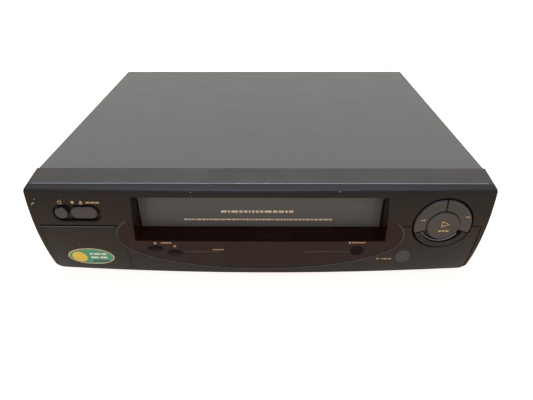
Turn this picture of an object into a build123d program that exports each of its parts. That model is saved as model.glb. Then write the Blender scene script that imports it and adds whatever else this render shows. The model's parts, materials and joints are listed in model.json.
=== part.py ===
from build123d import *
from math import acos, atan, cos, degrees, pi, radians, sin, sqrt, tan
import os

# Front-loading video cassette recorder: folded steel case on four rubber feet, moulded front with
# a doubly curved face, sprung cassette door, drop-down flap over the front jacks, nine push
# buttons, and the helical-scan tape deck inside.  Millimetres, +X right, front faces -Y, +Z up,
# z = 0 under the feet, x = 0 and y = 0 at the middle of the overall box.

os.makedirs("parts", exist_ok=True)

# ---------------------------------------------------------------- driving dimensions
# Case
body_width = 360.0
body_height = 94.0
body_depth = 291.0  # upper front edge to the rear edge of the cover
front_reach = 9.0  # play button face in front of the upper front edge
plug_reach = 9.0  # rear sockets behind the cover
sheet = 0.9  # folded steel cover
panel = 1.0  # chassis pan and rear panel
cover_bend = 2.5
foot_height = 8.5
foot_radius = 9.0
foot_inset_x = 34.0
foot_inset_y = 40.0

# Front moulding
wall = 2.5
strip_depth = 22.8  # sloping strip between the cover and the upper front edge
strip_drop = 3.3
edge_round = 3.0
nose_height = 62.0  # level at which the face stands furthest out
nose_reach = 7.3
nose_radius = 156.0
top_bow = 1.3
chin_bow = 4.0
chin_drop = 3.4
side_taper = 4.5
corner_round = 7.0

# Cassette slot and door
slot_top = 77.5
slot_bottom = 46.5
slot_half = 99.3
mouth_top = 85.3
mouth_top_half = 98.6
mouth_bottom = 42.8
mouth_bottom_half = 101.2
tunnel_wall = 2.0
door_setback = 8.0  # door face behind the upper front edge
door_zone = 6.0
door_thickness = 2.5
door_gap = 0.8
door_pin_radius = 1.5
door_pin_drop = 1.6  # pin axis below the door's upper edge

# Smoked window
window_half = 115.0
window_drop = 37.0
window_centre = 47.0
window_lobe_top = 64.6
window_lobe_x = 100.0
window_step = 0.5  # window face behind the bezel face
window_wall = 2.4
window_gap = 0.15
cheek_front_z = 64.6
cheek_rear_z = 55.0

# Jack flap
flap_from_end = 6.0
flap_length = 64.5
flap_top = 58.7
flap_gap = 0.35
flap_pin_y = 2.0  # behind the upper front edge
flap_pin_z = 13.0
flap_pin_radius = 1.5
flap_lug = 2.0
flap_sweep = 7.0

# Controls
travel_gap = 1.3  # button stem to switch at rest
button_gap = 0.35
stem_radius = 2.0
stem_end = 13.0  # behind the upper front edge
flange = 1.0
pill_from_end, pill_z = 37.8, 70.0
pill_length, pill_height, pill_depth = 37.2, 14.4, 3.0
power_from_end, power_z, power_radius = 26.2, 71.0, 4.9
stop_from_end, stop_z, stop_length, stop_height = 43.8, 71.0, 20.6, 10.4
ring_from_end, ring_z = 36.5, 60.0
well_radius, ring_outer, ring_inner, play_radius = 23.4, 22.5, 13.1, 12.5
well_floor, well_depth = 2.0, 6.0
ring_proud = 0.4
ring_shoulder, ring_round = 1.5, 0.6
scoop_radius = 4.4
play_dish = 0.5
rim_bevel = 0.8
groove_width, groove_depth = 0.9, 0.7
pause_x, pause_z, pause_radius = 117.8, 27.0, 6.5
record_x, record_z, record_radius = 79.2, 32.7, 5.1
program_down_x, program_down_z = -85.8, 34.2
program_up_x, program_up_z = -70.3, 29.9
program_length, program_height = 12.4, 6.8

# Boards
board = 1.6
front_board_y = 18.8  # behind the upper front edge
main_board_z = 15.0

# Standard sockets
jack_radius = 4.15
jack_hole = 1.6
jack_length = 9.0
jack_shoulder = 1.6
shoulder_reach = 1.0
front_jack_pitch = 15.0
front_jack_from_end, front_jack_z = 38.5, 36.0
aerial_radius = 4.75

# Tape deck
deck_z = 29.0
deck_thickness = 1.5
deck_half = 108.0
deck_front = 32.0  # behind the upper front edge
deck_rear = 262.0
reel_x = 46.0
reel_y = 94.0
reel_flange = 17.5
spindle_height = 15.0
drum_radius = 31.0
drum_y = 197.0
drum_tilt = 5.0
capstan_x, capstan_y = 50.0, 165.0
capstan_radius = 1.5
flywheel_radius = 24.0
capstan_pulley = 5.0
clutch_y = 71.0
clutch_pulley = 14.0
clutch_wheel_radius = 8.0
idler_radius = 13.0
wheel_gap = 0.3
belt = 0.8
running = 0.05  # radial clearance of a shaft in its bore

# Carriage
cassette_height = 25.0
cassette_width = 187.0
holder_front = 40.0
holder_depth = 96.0
holder_floor = 46.5
holder_sheet = 1.0
holder_travel = 22.0
holder_drop = 12.0
gear_module = 1.0
gear_teeth = 14
backlash = 0.3
cam_teeth = 30

# ---------------------------------------------------------------- derived places
overall_depth = front_reach + body_depth + plug_reach
front_y = -overall_depth / 2
edge_y = front_y + front_reach
cover_front_y = edge_y + strip_depth
cover_rear_y = edge_y + body_depth
strip_front_z = body_height - strip_drop
floor_z = foot_height
pan_top_z = floor_z + panel
deck_top = deck_z + deck_thickness
door_y = edge_y + door_setback
half_width = body_width / 2
far = 2 * body_width
flap_left = half_width - flap_from_end
flap_right = flap_left - flap_length
pill_x = pill_from_end - half_width
power_x = power_from_end - half_width
stop_x = stop_from_end - half_width
ring_x = half_width - ring_from_end
front_jack_x = front_jack_from_end - half_width
side_middle = (deck_half + half_width) / 2  # middle of the room beside the deck


def front_plane(y):
    """Plane facing the viewer at depth y, with local x, y along X and Z."""
    return Plane.XZ.offset(-y)


def face_end_y(z, inset=0.0):
    """Depth of the moulded face at its left and right ends, at height z."""
    return edge_y - nose_reach + (z - nose_height) ** 2 / (2 * nose_radius) + inset


def face_bow(z):
    """How far the middle of the face stands in front of its ends, at height z."""
    below = max(0.0, nose_height - z) / nose_height
    return top_bow + chin_bow * below**2


def face_half_width(z):
    """Half width of the face, which narrows towards the bottom."""
    return half_width - side_taper * max(0.0, strip_front_z - z) / strip_front_z


def face_y(x, z, inset=0.0):
    """Depth of the moulded face at x and z."""
    return face_end_y(z, inset) - face_bow(z) * (1 - (x / half_width) ** 2)


def front_form(inset, rear=0.0):
    """Loft of plan sections: a solid whose front is the doubly curved face, set in by inset."""
    levels = [body_height * step / 4 - 2 + step for step in range(5)]
    with BuildPart() as form:
        for z in levels:
            half = face_half_width(z) - inset
            end = face_end_y(z, inset)
            with BuildSketch(Plane.XY.offset(z)):
                with BuildLine():
                    ThreePointArc((-half, end), (0, end - face_bow(z)), (half, end))
                    Polyline(
                        (half, end),
                        (half_width - inset, cover_front_y + rear),
                        (inset - half_width, cover_front_y + rear),
                        (-half, end),
                    )
                make_face()
        loft()
    return form.part


def side_prism(points):
    """Prism across the whole width from (y, z) points."""
    with BuildPart() as prism:
        with BuildSketch(Plane.YZ):
            with BuildLine():
                Polyline(*points, close=True)
            make_face()
        extrude(amount=half_width, both=True)
    return prism.part


def elevation_prism(sketch):
    """Prism from front to rear of a sketch drawn on the plane XZ."""
    with BuildPart() as prism:
        extrude(sketch, amount=far, dir=(0, 1, 0), both=True)
    return prism.part


def chin_outline(rise):
    """Everything above the bowed lower edge of the front moulding, raised by rise."""
    low = floor_z + rise
    with BuildSketch(Plane.XZ) as outline:
        with BuildLine():
            ThreePointArc((-half_width, low), (0, low - chin_drop), (half_width, low))
            Polyline((half_width, low), (half_width, far), (-half_width, far), (-half_width, low))
        make_face()
    return outline.sketch


def window_outline(grow):
    """Smoked window seen from the front: half ellipse with a lobe at each end."""
    half = window_half + grow
    top = window_lobe_top + grow
    lobe_x = (window_half + window_lobe_x) / 2 + 3.0 + grow * 0.7
    lobe_z = (window_centre + window_lobe_top) / 2 + 3.9 + grow * 0.7
    with BuildSketch(Plane.XZ) as outline:
        with BuildLine():
            EllipticalCenterArc(
                (0, window_centre), half, window_drop + grow, start_angle=180, arc_size=180
            )
            ThreePointArc((half, window_centre), (lobe_x, lobe_z), (window_lobe_x, top))
            Line((window_lobe_x, top), (-window_lobe_x, top))
            ThreePointArc((-window_lobe_x, top), (-lobe_x, lobe_z), (-half, window_centre))
        make_face()
    return outline.sketch


def flap_outline(shrink):
    """Jack flap seen from the front: a panel cut into by the end of the window."""
    left = -flap_left + shrink
    right = -flap_right - shrink
    top = flap_top - shrink
    with BuildSketch(Plane.XZ) as outline:
        with BuildLine():
            Polyline((left, 0), (right, 0), (right, top), (left, top), close=True)
        make_face()
        add(window_outline(shrink), mode=Mode.SUBTRACT)
    return outline.sketch


def mouth_space(grow, length):
    """Space of the cassette slot: a tapering mouth and the straight zone behind the door face."""
    with BuildSketch(front_plane(edge_y - nose_reach - 1.0)) as mouth:
        with BuildLine():
            Polyline(
                (-mouth_bottom_half - grow, mouth_bottom - grow),
                (mouth_bottom_half + grow, mouth_bottom - grow),
                (mouth_top_half + grow, mouth_top + grow),
                (-mouth_top_half - grow, mouth_top + grow),
                close=True,
            )
        make_face()
    with BuildSketch(front_plane(door_y)) as throat:
        with Locations((0, (slot_top + slot_bottom) / 2)):
            Rectangle(2 * (slot_half + grow), slot_top - slot_bottom + 2 * grow)
    with BuildPart() as space:
        loft([mouth.sketch, throat.sketch])
        extrude(throat.sketch, amount=-length)
        extrude(mouth.sketch, amount=10)
    return space.part


def behind(distance):
    """Depth of a point that lies the given distance behind the upper front edge."""
    return edge_y + distance


def block(left, right, front, rear, low, high):
    """Box between six limits, front and rear being distances behind the upper front edge."""
    with BuildPart() as piece:
        with Locations(((left + right) / 2, behind((front + rear) / 2), (low + high) / 2)):
            Box(right - left, rear - front, high - low)
    return piece.part


def post(x, distance, low, high, radius):
    """Upright cylinder between two levels."""
    with BuildPart() as piece:
        with Locations((x, behind(distance), (low + high) / 2)):
            Cylinder(radius, high - low)
    return piece.part


def cross_pin(left, right, distance, z, radius):
    """Cylinder along X."""
    with BuildPart() as piece:
        with Locations(Location(((left + right) / 2, behind(distance), z), (0, 90, 0))):
            Cylinder(radius, right - left)
    return piece.part


def depth_pin(x, front, rear, z, radius):
    """Cylinder along Y."""
    with BuildPart() as piece:
        with Locations(Location((x, behind((front + rear) / 2), z), (90, 0, 0))):
            Cylinder(radius, rear - front)
    return piece.part


def save(piece, name):
    """Label a finished piece and write it."""
    piece.part.label = name
    export_step(piece.part, f"parts/{name}.step")


# ---------------------------------------------------------------- common forms of the front
outer_form = front_form(0.0)
inner_form = front_form(wall, rear=1.0)
window_face_form = front_form(window_step)
window_back_form = front_form(window_step + window_wall, rear=1.0)
groove_form = front_form(groove_depth)

strip_slope = strip_drop / strip_depth
top_profile = side_prism(
    [
        (cover_front_y, body_height),
        (edge_y - far, strip_front_z - strip_slope * far),
        (edge_y - far, -far),
        (cover_front_y, -far),
    ]
)
inner_top_profile = side_prism(
    [
        (cover_front_y + 2, body_height - wall + 2 * strip_slope),
        (edge_y - far, strip_front_z - strip_slope * far - wall),
        (edge_y - far, -far),
        (cover_front_y + 2, -far),
    ]
)


def cheek_line(lift):
    """(y, z) points of the line on the slot's cheeks where bezel and window meet."""
    front = (edge_y - nose_reach - 1.0, cheek_front_z + lift)
    rear = (door_y, cheek_rear_z + lift)
    slope = (rear[1] - front[1]) / (rear[0] - front[0])
    reach = 30.0
    return [
        (front[0] - reach, front[1] - slope * reach),
        (rear[0] + reach, rear[1] + slope * reach),
    ]


above_cheek = side_prism([*cheek_line(0.0), (door_y + 30, far), (edge_y - 40, far)])
below_cheek = side_prism([*cheek_line(-window_gap), (door_y + 30, -far), (edge_y - 40, -far)])

# ---------------------------------------------------------------- front moulding blank
with BuildPart() as face_block:
    add(outer_form)
    add(top_profile, mode=Mode.INTERSECT)
    add(elevation_prism(chin_outline(0.0)), mode=Mode.INTERSECT)
    lower_sides = edges().filter_by(
        lambda edge: abs(edge.center().X) > half_width * 0.95 and edge.center().Z < floor_z + 2
    )
    fillet(lower_sides, corner_round)
    upper_front = edges().filter_by(
        lambda edge: edge.length > body_width * 0.9
        and edge.center().Z > nose_height
        and edge.center().Y < edge_y + 1
    )
    fillet(upper_front, edge_round)

with BuildPart() as inner_block:
    add(inner_form)
    add(inner_top_profile, mode=Mode.INTERSECT)
    add(elevation_prism(chin_outline(wall)), mode=Mode.INTERSECT)

# ---------------------------------------------------------------- places of the controls
segment_radius = (ring_outer + ring_inner) / 2
segment_start = -20.0  # lower end of the fast-forward segment, degrees
segment_split = 90.0
segment_end = 200.0
split_gap = 1.0


def on_ring(angle):
    """Point on the middle radius of the control ring."""
    return (
        ring_x + segment_radius * cos(radians(angle)),
        ring_z + segment_radius * sin(radians(angle)),
    )


ring_buttons = ("play_button", "rewind_button", "fast_forward_button")
rewind_angle = (segment_split + segment_end) / 2
forward_angle = (segment_split + segment_start) / 2
stems = {
    "power_button": (power_x, power_z),
    "stop_eject_button": (stop_x, stop_z),
    "rewind_button": on_ring(rewind_angle),
    "fast_forward_button": on_ring(forward_angle),
    "play_button": (ring_x, ring_z),
    "pause_button": (pause_x, pause_z),
    "record_button": (record_x, record_z),
    "program_down_button": (program_down_x, program_down_z),
    "program_up_button": (program_up_x, program_up_z),
}
post_radius = 3.0
board_half = half_width - 8.0
tower_right = slot_half + tunnel_wall + 6.7
tower_left = -slot_half - tunnel_wall - 12.7
board_posts = [
    (-100.0, 17.0),
    (100.0, 17.0),
    (board_half - 6.0, 17.0),
    (board_half - 4.0, 85.0),
    (tower_right + 5.0, 86.0),
    (3.0 - board_half, 82.0),
    (tower_left - 5.0, 82.0),
]
pill_floor_y = face_y(pill_x, pill_z) + pill_depth
pill_back_y = pill_floor_y + 2.2
well_back_y = edge_y + well_depth
well_floor_y = well_back_y - well_floor
pause_collar_y = edge_y + 0.5
window_collar_y = edge_y - 0.5

# ---------------------------------------------------------------- front bezel
door_top = slot_top - 1.4
door_bottom = slot_bottom + 0.6
door_half = slot_half - door_gap
door_pin_y = door_y + 1.5
door_pin_z = door_top - door_pin_drop
flap_pin_left = flap_left + 0.9  # end of the left pin, inside the side wall
flap_pin_right = flap_right - 2.0
door_pin_left = -slot_half - tunnel_wall + 0.3
door_pin_right = slot_half + tunnel_wall + 4.5
groove_left = window_half - 5.0
with BuildPart() as slot_tunnel:
    add(mouth_space(tunnel_wall, door_zone))
    add(mouth_space(0.0, door_zone + 5), mode=Mode.SUBTRACT)

with BuildPart() as groove_cut:
    with BuildSketch(Plane.XZ):
        with BuildLine():
            Polyline((groove_left, flap_top), (flap_left, flap_top), (flap_left, floor_z))
        trace(line_width=groove_width)
    extrude(amount=far)
    add(groove_form, mode=Mode.SUBTRACT)
    with BuildSketch(front_plane(edge_y)):
        with Locations((ring_x, ring_z)):
            Circle(well_radius + 0.5)
    extrude(amount=far, mode=Mode.SUBTRACT)

ear = 4.0
with BuildPart() as inside_additions:
    # ear that carries the right pin of the flap
    with BuildSketch(Plane.YZ.offset(-flap_right + flap_gap)):
        with Locations((edge_y + flap_pin_y, flap_pin_z)):
            Rectangle(2 * ear, 2 * ear)
        with Locations((edge_y + flap_pin_y - 3, flap_pin_z)):
            Rectangle(2 * ear, 2 * ear)
    extrude(amount=ear)
    with BuildSketch(front_plane(well_back_y)):
        with Locations((ring_x, ring_z)):
            Circle(well_radius + well_floor)
    extrude(amount=well_depth + nose_reach + 5)
    with BuildSketch(front_plane(pill_back_y)):
        with Locations((pill_x, pill_z)):
            SlotOverall(pill_length + 4, pill_height + 4)
    extrude(amount=pill_depth + 4)
    with BuildSketch(front_plane(pause_collar_y)):
        with Locations((pause_x, pause_z)):
            Circle(pause_radius + 1.8)
    extrude(amount=nose_reach + 5)
    with BuildSketch(front_plane(edge_y + front_board_y)):
        with Locations(*board_posts):
            Circle(post_radius)
    extrude(amount=front_board_y + nose_reach + 5)
    add(face_block.part, mode=Mode.INTERSECT)

with BuildPart() as window_room:
    add(elevation_prism(window_outline(window_gap)))
    add(front_form(window_step + window_wall + window_gap, rear=1.0), mode=Mode.SUBTRACT)
    add(block(-far, far, 10, far, -far, far), mode=Mode.SUBTRACT)

with BuildPart() as upper_tunnel:
    add(slot_tunnel.part)
    add(above_cheek, mode=Mode.INTERSECT)
    add(face_block.part, mode=Mode.INTERSECT)
    add(window_room.part, mode=Mode.SUBTRACT)

with BuildPart() as flap_room:
    extrude(flap_outline(0.0), amount=far, dir=(0, -1, 0))
    add(block(-far, far, flap_pin_y + flap_sweep, far, -far, far), mode=Mode.SUBTRACT)

def front_rim(piece, x, z, width):
    """Edges in the moulded face that bound a recess of the given width centred on x, z."""
    return piece.edges().filter_by(
        lambda edge: edge.bounding_box().max.Y < face_y(x, z) + 2.5
        and abs(edge.center().X - x) < width / 2 + 0.1
        and abs(edge.center().Z - z) < width / 2 + 0.1
    )


with BuildPart() as front_bezel:
    add(face_block.part)
    add(inner_block.part, mode=Mode.SUBTRACT)
    add(inside_additions.part)
    add(elevation_prism(window_outline(window_gap)), mode=Mode.SUBTRACT)
    add(upper_tunnel.part)
    add(mouth_space(0.0, door_zone + 5), mode=Mode.SUBTRACT)
    add(flap_room.part, mode=Mode.SUBTRACT)
    # recesses of the upper left buttons and of the control ring
    with BuildSketch(front_plane(pill_floor_y)):
        with Locations((pill_x, pill_z)):
            SlotOverall(pill_length, pill_height)
    extrude(amount=20, mode=Mode.SUBTRACT)
    with BuildSketch(front_plane(well_floor_y)):
        with Locations((ring_x, ring_z)):
            Circle(well_radius)
    extrude(amount=20, mode=Mode.SUBTRACT)
    chamfer(front_rim(front_bezel, ring_x, ring_z, 2 * well_radius), rim_bevel)
    chamfer(front_rim(front_bezel, pill_x, pill_z, pill_length), rim_bevel)
    # holes that guide the buttons
    with BuildSketch(front_plane(well_back_y + 1)):
        with Locations(*[stems[name] for name in ring_buttons]):
            Circle(stem_radius + button_gap)
        with Locations((pause_x, pause_z)):
            Circle(pause_radius + button_gap)
        with Locations((power_x, power_z)):
            Circle(power_radius + button_gap)
        with Locations((stop_x, stop_z)):
            SlotOverall(stop_length + 2 * button_gap, stop_height + 2 * button_gap)
    extrude(amount=30, mode=Mode.SUBTRACT)
    # blind sockets for the hinge pins of the door and the flap
    with BuildSketch(Plane.YZ.offset(-slot_half - tunnel_wall - 1)):
        with Locations((door_pin_y, door_pin_z)):
            Circle(door_pin_radius + running)
    extrude(amount=2 * (slot_half + tunnel_wall + 1), mode=Mode.SUBTRACT)
    with BuildSketch(Plane.YZ.offset(-flap_pin_left)):
        with Locations((edge_y + flap_pin_y, flap_pin_z)):
            Circle(flap_pin_radius + running)
    extrude(amount=flap_pin_left - flap_pin_right, mode=Mode.SUBTRACT)
    # decorative groove that repeats the flap's outline on the right
    add(groove_cut.part, mode=Mode.SUBTRACT)
save(front_bezel, "front_bezel")

# ---------------------------------------------------------------- smoked window
with BuildPart() as lower_tunnel:
    add(slot_tunnel.part)
    add(below_cheek, mode=Mode.INTERSECT)
    add(window_face_form, mode=Mode.INTERSECT)

window_buttons = ("record_button", "program_down_button", "program_up_button")
with BuildPart() as display_window:
    add(window_face_form)
    add(window_back_form, mode=Mode.SUBTRACT)
    add(elevation_prism(window_outline(0.0)), mode=Mode.INTERSECT)
    add(lower_tunnel.part)
    add(mouth_space(0.0, door_zone + 5), mode=Mode.SUBTRACT)
    with BuildSketch(front_plane(edge_y + 5)):
        with Locations((record_x, record_z)):
            Circle(record_radius + button_gap)
        with Locations(*[stems[name] for name in window_buttons[1:]]):
            Ellipse(program_length / 2 + button_gap, program_height / 2 + button_gap)
    extrude(amount=20, mode=Mode.SUBTRACT)
save(display_window, "display_window")

# ---------------------------------------------------------------- cassette door
rim = 1.5
door_line_x = door_half - 5.5
door_line_width, door_line_depth = 0.5, 0.3
with BuildPart() as cassette_door:
    with BuildSketch(front_plane(door_y + door_thickness)):
        with Locations((0, (door_top + door_bottom) / 2)):
            Rectangle(2 * door_half, door_top - door_bottom)
    extrude(amount=door_thickness)
    fillet(edges().group_by(Axis.Z)[-1].filter_by(Axis.X), 0.8)
    # pockets between the rim and the ribs on the back
    with BuildSketch(front_plane(door_y + door_thickness)):
        with GridLocations(door_half / 2, 0, 4, 1):
            with Locations((0, (door_top + door_bottom) / 2 - 1)):
                Rectangle(door_half / 2 - rim, door_top - door_bottom - 5)
    extrude(amount=door_thickness / 2 - 0.2, mode=Mode.SUBTRACT)
    # fine vertical lines that set off the ends of the door
    with BuildSketch(front_plane(door_y)):
        with Locations((-door_line_x, (door_top + door_bottom) / 2), (door_line_x, (door_top + door_bottom) / 2)):
            Rectangle(door_line_width, door_top - door_bottom)
    extrude(amount=-door_line_depth, mode=Mode.SUBTRACT)
    # hinge pins, the right one long enough to carry the spring
    with BuildSketch(Plane.YZ.offset(door_pin_left)):
        with Locations((door_pin_y, door_pin_z)):
            Circle(door_pin_radius)
    extrude(amount=door_pin_right - door_pin_left)
save(cassette_door, "cassette_door")

spring_wire = 0.8
spring_leg = 6.0
with BuildPart() as door_spring:
    with BuildSketch(Plane.YZ.offset(slot_half + tunnel_wall + 0.5)):
        with Locations((door_pin_y, door_pin_z)):
            Circle(door_pin_radius + running + spring_wire)
        with Locations((door_pin_y + spring_leg / 2, door_pin_z - door_pin_radius - spring_wire / 2)):
            Rectangle(spring_leg, spring_wire)
    extrude(amount=spring_wire)
    with BuildSketch(Plane.YZ.offset(slot_half + tunnel_wall + 0.5)):
        with Locations((door_pin_y, door_pin_z)):
            Circle(door_pin_radius + running + spring_wire)
    extrude(amount=door_pin_right - slot_half - tunnel_wall - 1)
    with BuildSketch(Plane.YZ.offset(door_pin_right)):
        with Locations((door_pin_y, door_pin_z)):
            Circle(door_pin_radius + running)
    extrude(amount=-far, mode=Mode.SUBTRACT)
save(door_spring, "door_spring")

# ---------------------------------------------------------------- jack flap
flap_back = 3.5
with BuildPart() as flap_shape:
    extrude(flap_outline(flap_gap), amount=far, both=True, dir=(0, 1, 0))
    add(block(-far, far, flap_back, far, -far, far), mode=Mode.SUBTRACT)

lug_spans = (
    (-flap_left + flap_gap, -flap_left + flap_gap + flap_lug),
    (-flap_right - flap_gap - flap_lug, -flap_right - flap_gap),
)
with BuildPart() as flap_lugs:
    for lug_left, lug_right in lug_spans:
        add(cross_pin(lug_left, lug_right, flap_pin_y, flap_pin_z, flap_lug))
        add(
            block(
                lug_left,
                lug_right,
                flap_pin_y - 4,
                flap_pin_y,
                flap_pin_z - flap_lug,
                flap_pin_z + flap_lug,
            )
        )
    add(face_block.part, mode=Mode.INTERSECT)

with BuildPart() as av_flap:
    add(face_block.part)
    add(inner_block.part, mode=Mode.SUBTRACT)
    add(flap_shape.part, mode=Mode.INTERSECT)
    add(flap_lugs.part)
    # hinge pins
    add(cross_pin(-flap_pin_left + 0.3, lug_spans[0][0], flap_pin_y, flap_pin_z, flap_pin_radius))
    add(cross_pin(lug_spans[1][1], -flap_pin_right - 0.3, flap_pin_y, flap_pin_z, flap_pin_radius))
save(av_flap, "av_flap")

# ---------------------------------------------------------------- buttons
rest_gap = 0.3


def stem(x, z, start_y, collar_y):
    """Round stem from start_y to the switch, with the collar that keeps the button in its hole."""
    with BuildPart() as piece:
        add(depth_pin(x, start_y - edge_y, stem_end, z, stem_radius))
        add(depth_pin(x, collar_y - edge_y, collar_y - edge_y + flange, z, stem_radius + 1.2))
    return piece.part


def cap_button(name, face_y, outline, collar_outline, collar_y, rounding):
    """Moulded cap on a flange that stops behind the wall, with a stem to its switch."""
    x, z = stems[name]
    with BuildPart() as button:
        with BuildSketch(front_plane(collar_y + flange)):
            with Locations((x, z)):
                add(outline)
        extrude(amount=collar_y + flange - face_y)
        fillet(faces().sort_by(Axis.Y)[0].edges(), rounding)
        with BuildSketch(front_plane(collar_y + flange)):
            with Locations((x, z)):
                add(collar_outline)
        extrude(amount=flange)
        with BuildSketch(front_plane(edge_y + stem_end)):
            with Locations((x, z)):
                Circle(stem_radius)
        extrude(amount=edge_y + stem_end - collar_y)
    save(button, name)
    return button


def round_outline(radius):
    """Circle as a sketch in its own plane."""
    with BuildSketch() as outline:
        Circle(radius)
    return outline.sketch


def slot_outline(length, height):
    """Round-ended slot as a sketch in its own plane."""
    with BuildSketch() as outline:
        SlotOverall(length, height)
    return outline.sketch


def lens_outline(length, height):
    """Ellipse as a sketch in its own plane."""
    with BuildSketch() as outline:
        Ellipse(length / 2, height / 2)
    return outline.sketch


pill_face_y = face_y(pill_x, pill_z) - 0.8
power_button = cap_button(
    "power_button",
    pill_face_y - 0.4,
    round_outline(power_radius),
    round_outline(power_radius + 1.0),
    pill_back_y + rest_gap,
    0.9,
)
stop_eject_button = cap_button(
    "stop_eject_button",
    pill_face_y,
    slot_outline(stop_length, stop_height),
    slot_outline(stop_length + 1.6, stop_height + 1.6),
    pill_back_y + rest_gap,
    1.2,
)
pause_button = cap_button(
    "pause_button",
    face_y(pause_x, pause_z) - 0.9,
    round_outline(pause_radius),
    round_outline(pause_radius + 1.0),
    pause_collar_y + rest_gap,
    0.8,
)
record_button = cap_button(
    "record_button",
    face_y(record_x, record_z) + 0.9,
    round_outline(record_radius),
    round_outline(record_radius + 1.0),
    window_collar_y + rest_gap,
    0.6,
)
crease = 0.9
for name in window_buttons[1:]:
    x, z = stems[name]
    crest_y = face_y(x, z) + 0.1
    collar_y = window_collar_y + rest_gap
    with BuildPart() as program_button:
        with BuildSketch(front_plane(collar_y + flange)):
            with Locations((x, z)):
                Ellipse(program_length / 2, program_height / 2)
        extrude(amount=collar_y + flange - crest_y)
        # two slopes that meet in a level crease
        with BuildSketch(Plane.YZ.offset(x - program_length)):
            with BuildLine():
                Polyline(
                    (crest_y, z),
                    (crest_y + crease, z + program_height / 2),
                    (crest_y + crease, z + program_height),
                    (crest_y - 5, z + program_height),
                    (crest_y - 5, z - program_height),
                    (crest_y + crease, z - program_height),
                    (crest_y + crease, z - program_height / 2),
                    close=True,
                )
            make_face()
        extrude(amount=2 * program_length, mode=Mode.SUBTRACT)
        with BuildSketch(front_plane(collar_y + flange)):
            with Locations((x, z)):
                Ellipse(program_length / 2 + 0.9, program_height / 2 + 0.9)
        extrude(amount=flange)
        with BuildSketch(front_plane(edge_y + stem_end)):
            with Locations((x, z)):
                Circle(stem_radius)
        extrude(amount=edge_y + stem_end - collar_y)
    save(program_button, name)

# ---------------------------------------------------------------- control ring
segment_back_y = well_floor_y - travel_gap


def ring_sector(start, end):
    """Sector of the control ring between two angles, with half a split left at each end."""
    inset_outer = degrees(split_gap / 2 / ring_outer)
    inset_inner = degrees(split_gap / 2 / ring_inner)
    with BuildSketch() as sector:
        with BuildLine():
            outer = CenterArc((0, 0), ring_outer, start + inset_outer, end - start - 2 * inset_outer)
            inner = CenterArc((0, 0), ring_inner, start + inset_inner, end - start - 2 * inset_inner)
            Line(outer @ 0, inner @ 0)
            Line(outer @ 1, inner @ 1)
        make_face()
    return sector.sketch


# round bar whose side follows the moulded face over the control ring
ring_skew = degrees(atan(face_y(ring_x + 0.5, ring_z) - face_y(ring_x - 0.5, ring_z)))
ring_bar_y = face_y(ring_x, nose_height) - ring_proud + nose_radius
with BuildPart() as ring_bar:
    with Locations(Location((ring_x, ring_bar_y, nose_height), (0, 0, ring_skew))):
        Cylinder(nose_radius, 4 * well_radius, rotation=(0, 90, 0))


def ring_block(start, end, back_y):
    """Sector of the ring from back_y to the moulded face, with its outer shoulder rounded."""
    with BuildPart() as sector:
        with BuildSketch(front_plane(back_y)):
            with Locations((ring_x, ring_z)):
                add(ring_sector(start, end))
        extrude(amount=3 * well_depth)
        add(ring_bar.part, mode=Mode.INTERSECT)
        rim = faces().sort_by(Axis.Y)[0].edges().sort_by(SortBy.LENGTH)
        fillet(rim[-1], ring_shoulder)
    return sector.part


def ring_button(name, start, end):
    """Sprung segment of the control ring."""
    x, z = stems[name]
    with BuildPart() as button:
        add(ring_block(start, end, segment_back_y))
        add(stem(x, z, segment_back_y, well_back_y + rest_gap))
    save(button, name)


ring_button("rewind_button", segment_split, segment_end)
ring_button("fast_forward_button", segment_start, segment_split)

dish_edge = play_radius - 2 * ring_round
dish_radius = (dish_edge**2 + play_dish**2) / (2 * play_dish)
with BuildPart() as play_button:
    with BuildSketch(front_plane(segment_back_y)):
        with Locations((ring_x, ring_z)):
            Circle(play_radius)
    extrude(amount=segment_back_y - front_y)
    fillet(faces().sort_by(Axis.Y)[0].edges(), ring_round)
    # shallow dish for the finger
    with Locations((ring_x, front_y + play_dish - dish_radius, ring_z)):
        Sphere(dish_radius, mode=Mode.SUBTRACT)
    add(stem(ring_x, ring_z, segment_back_y, well_back_y + rest_gap))
save(play_button, "play_button")

with BuildPart() as ring_trim:
    add(ring_block(segment_end, 360 + segment_start, well_floor_y))
    # finger scoop round the play button
    with BuildSketch(Plane.YZ.offset(ring_x)):
        with Locations((face_y(ring_x, ring_z), ring_z + ring_inner)):
            Circle(scoop_radius)
    revolve(axis=Axis((ring_x, 0, ring_z), (0, 1, 0)), mode=Mode.SUBTRACT)
save(ring_trim, "ring_trim")

# ---------------------------------------------------------------- boards behind the front
strip_low, strip_high, tower_high = 12.0, 44.0, 89.0
with BuildPart() as front_board:
    add(
        [block(-board_half, board_half, front_board_y, front_board_y + board, strip_low, strip_high),
        block(-board_half, tower_left, front_board_y, front_board_y + board, 40, 85),
        block(tower_right, board_half, front_board_y, front_board_y + board, 40, tower_high)],
    )
save(front_board, "front_board")

tube_half = 36.0
with BuildPart() as display_tube:
    add(block(-tube_half, tube_half, front_board_y - 7.0, front_board_y, 13, 35))
    chamfer(display_tube.faces().sort_by(Axis.Y)[0].edges(), 1.2)
    add(depth_pin(tube_half - 8, front_board_y - 9.0, front_board_y - 6.5, 30, 1.6))
save(display_tube, "display_tube")

switch_half = 3.0
with BuildPart() as tact_switches:
    for x, z in stems.values():
        add(
            [block(
                x - switch_half,
                x + switch_half,
                front_board_y - 3.5,
                front_board_y,
                z - switch_half,
                z + switch_half,
            ),
            depth_pin(x, stem_end + travel_gap, front_board_y - 3.0, z, 1.6)],
        )
save(tact_switches, "tact_switches")

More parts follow.
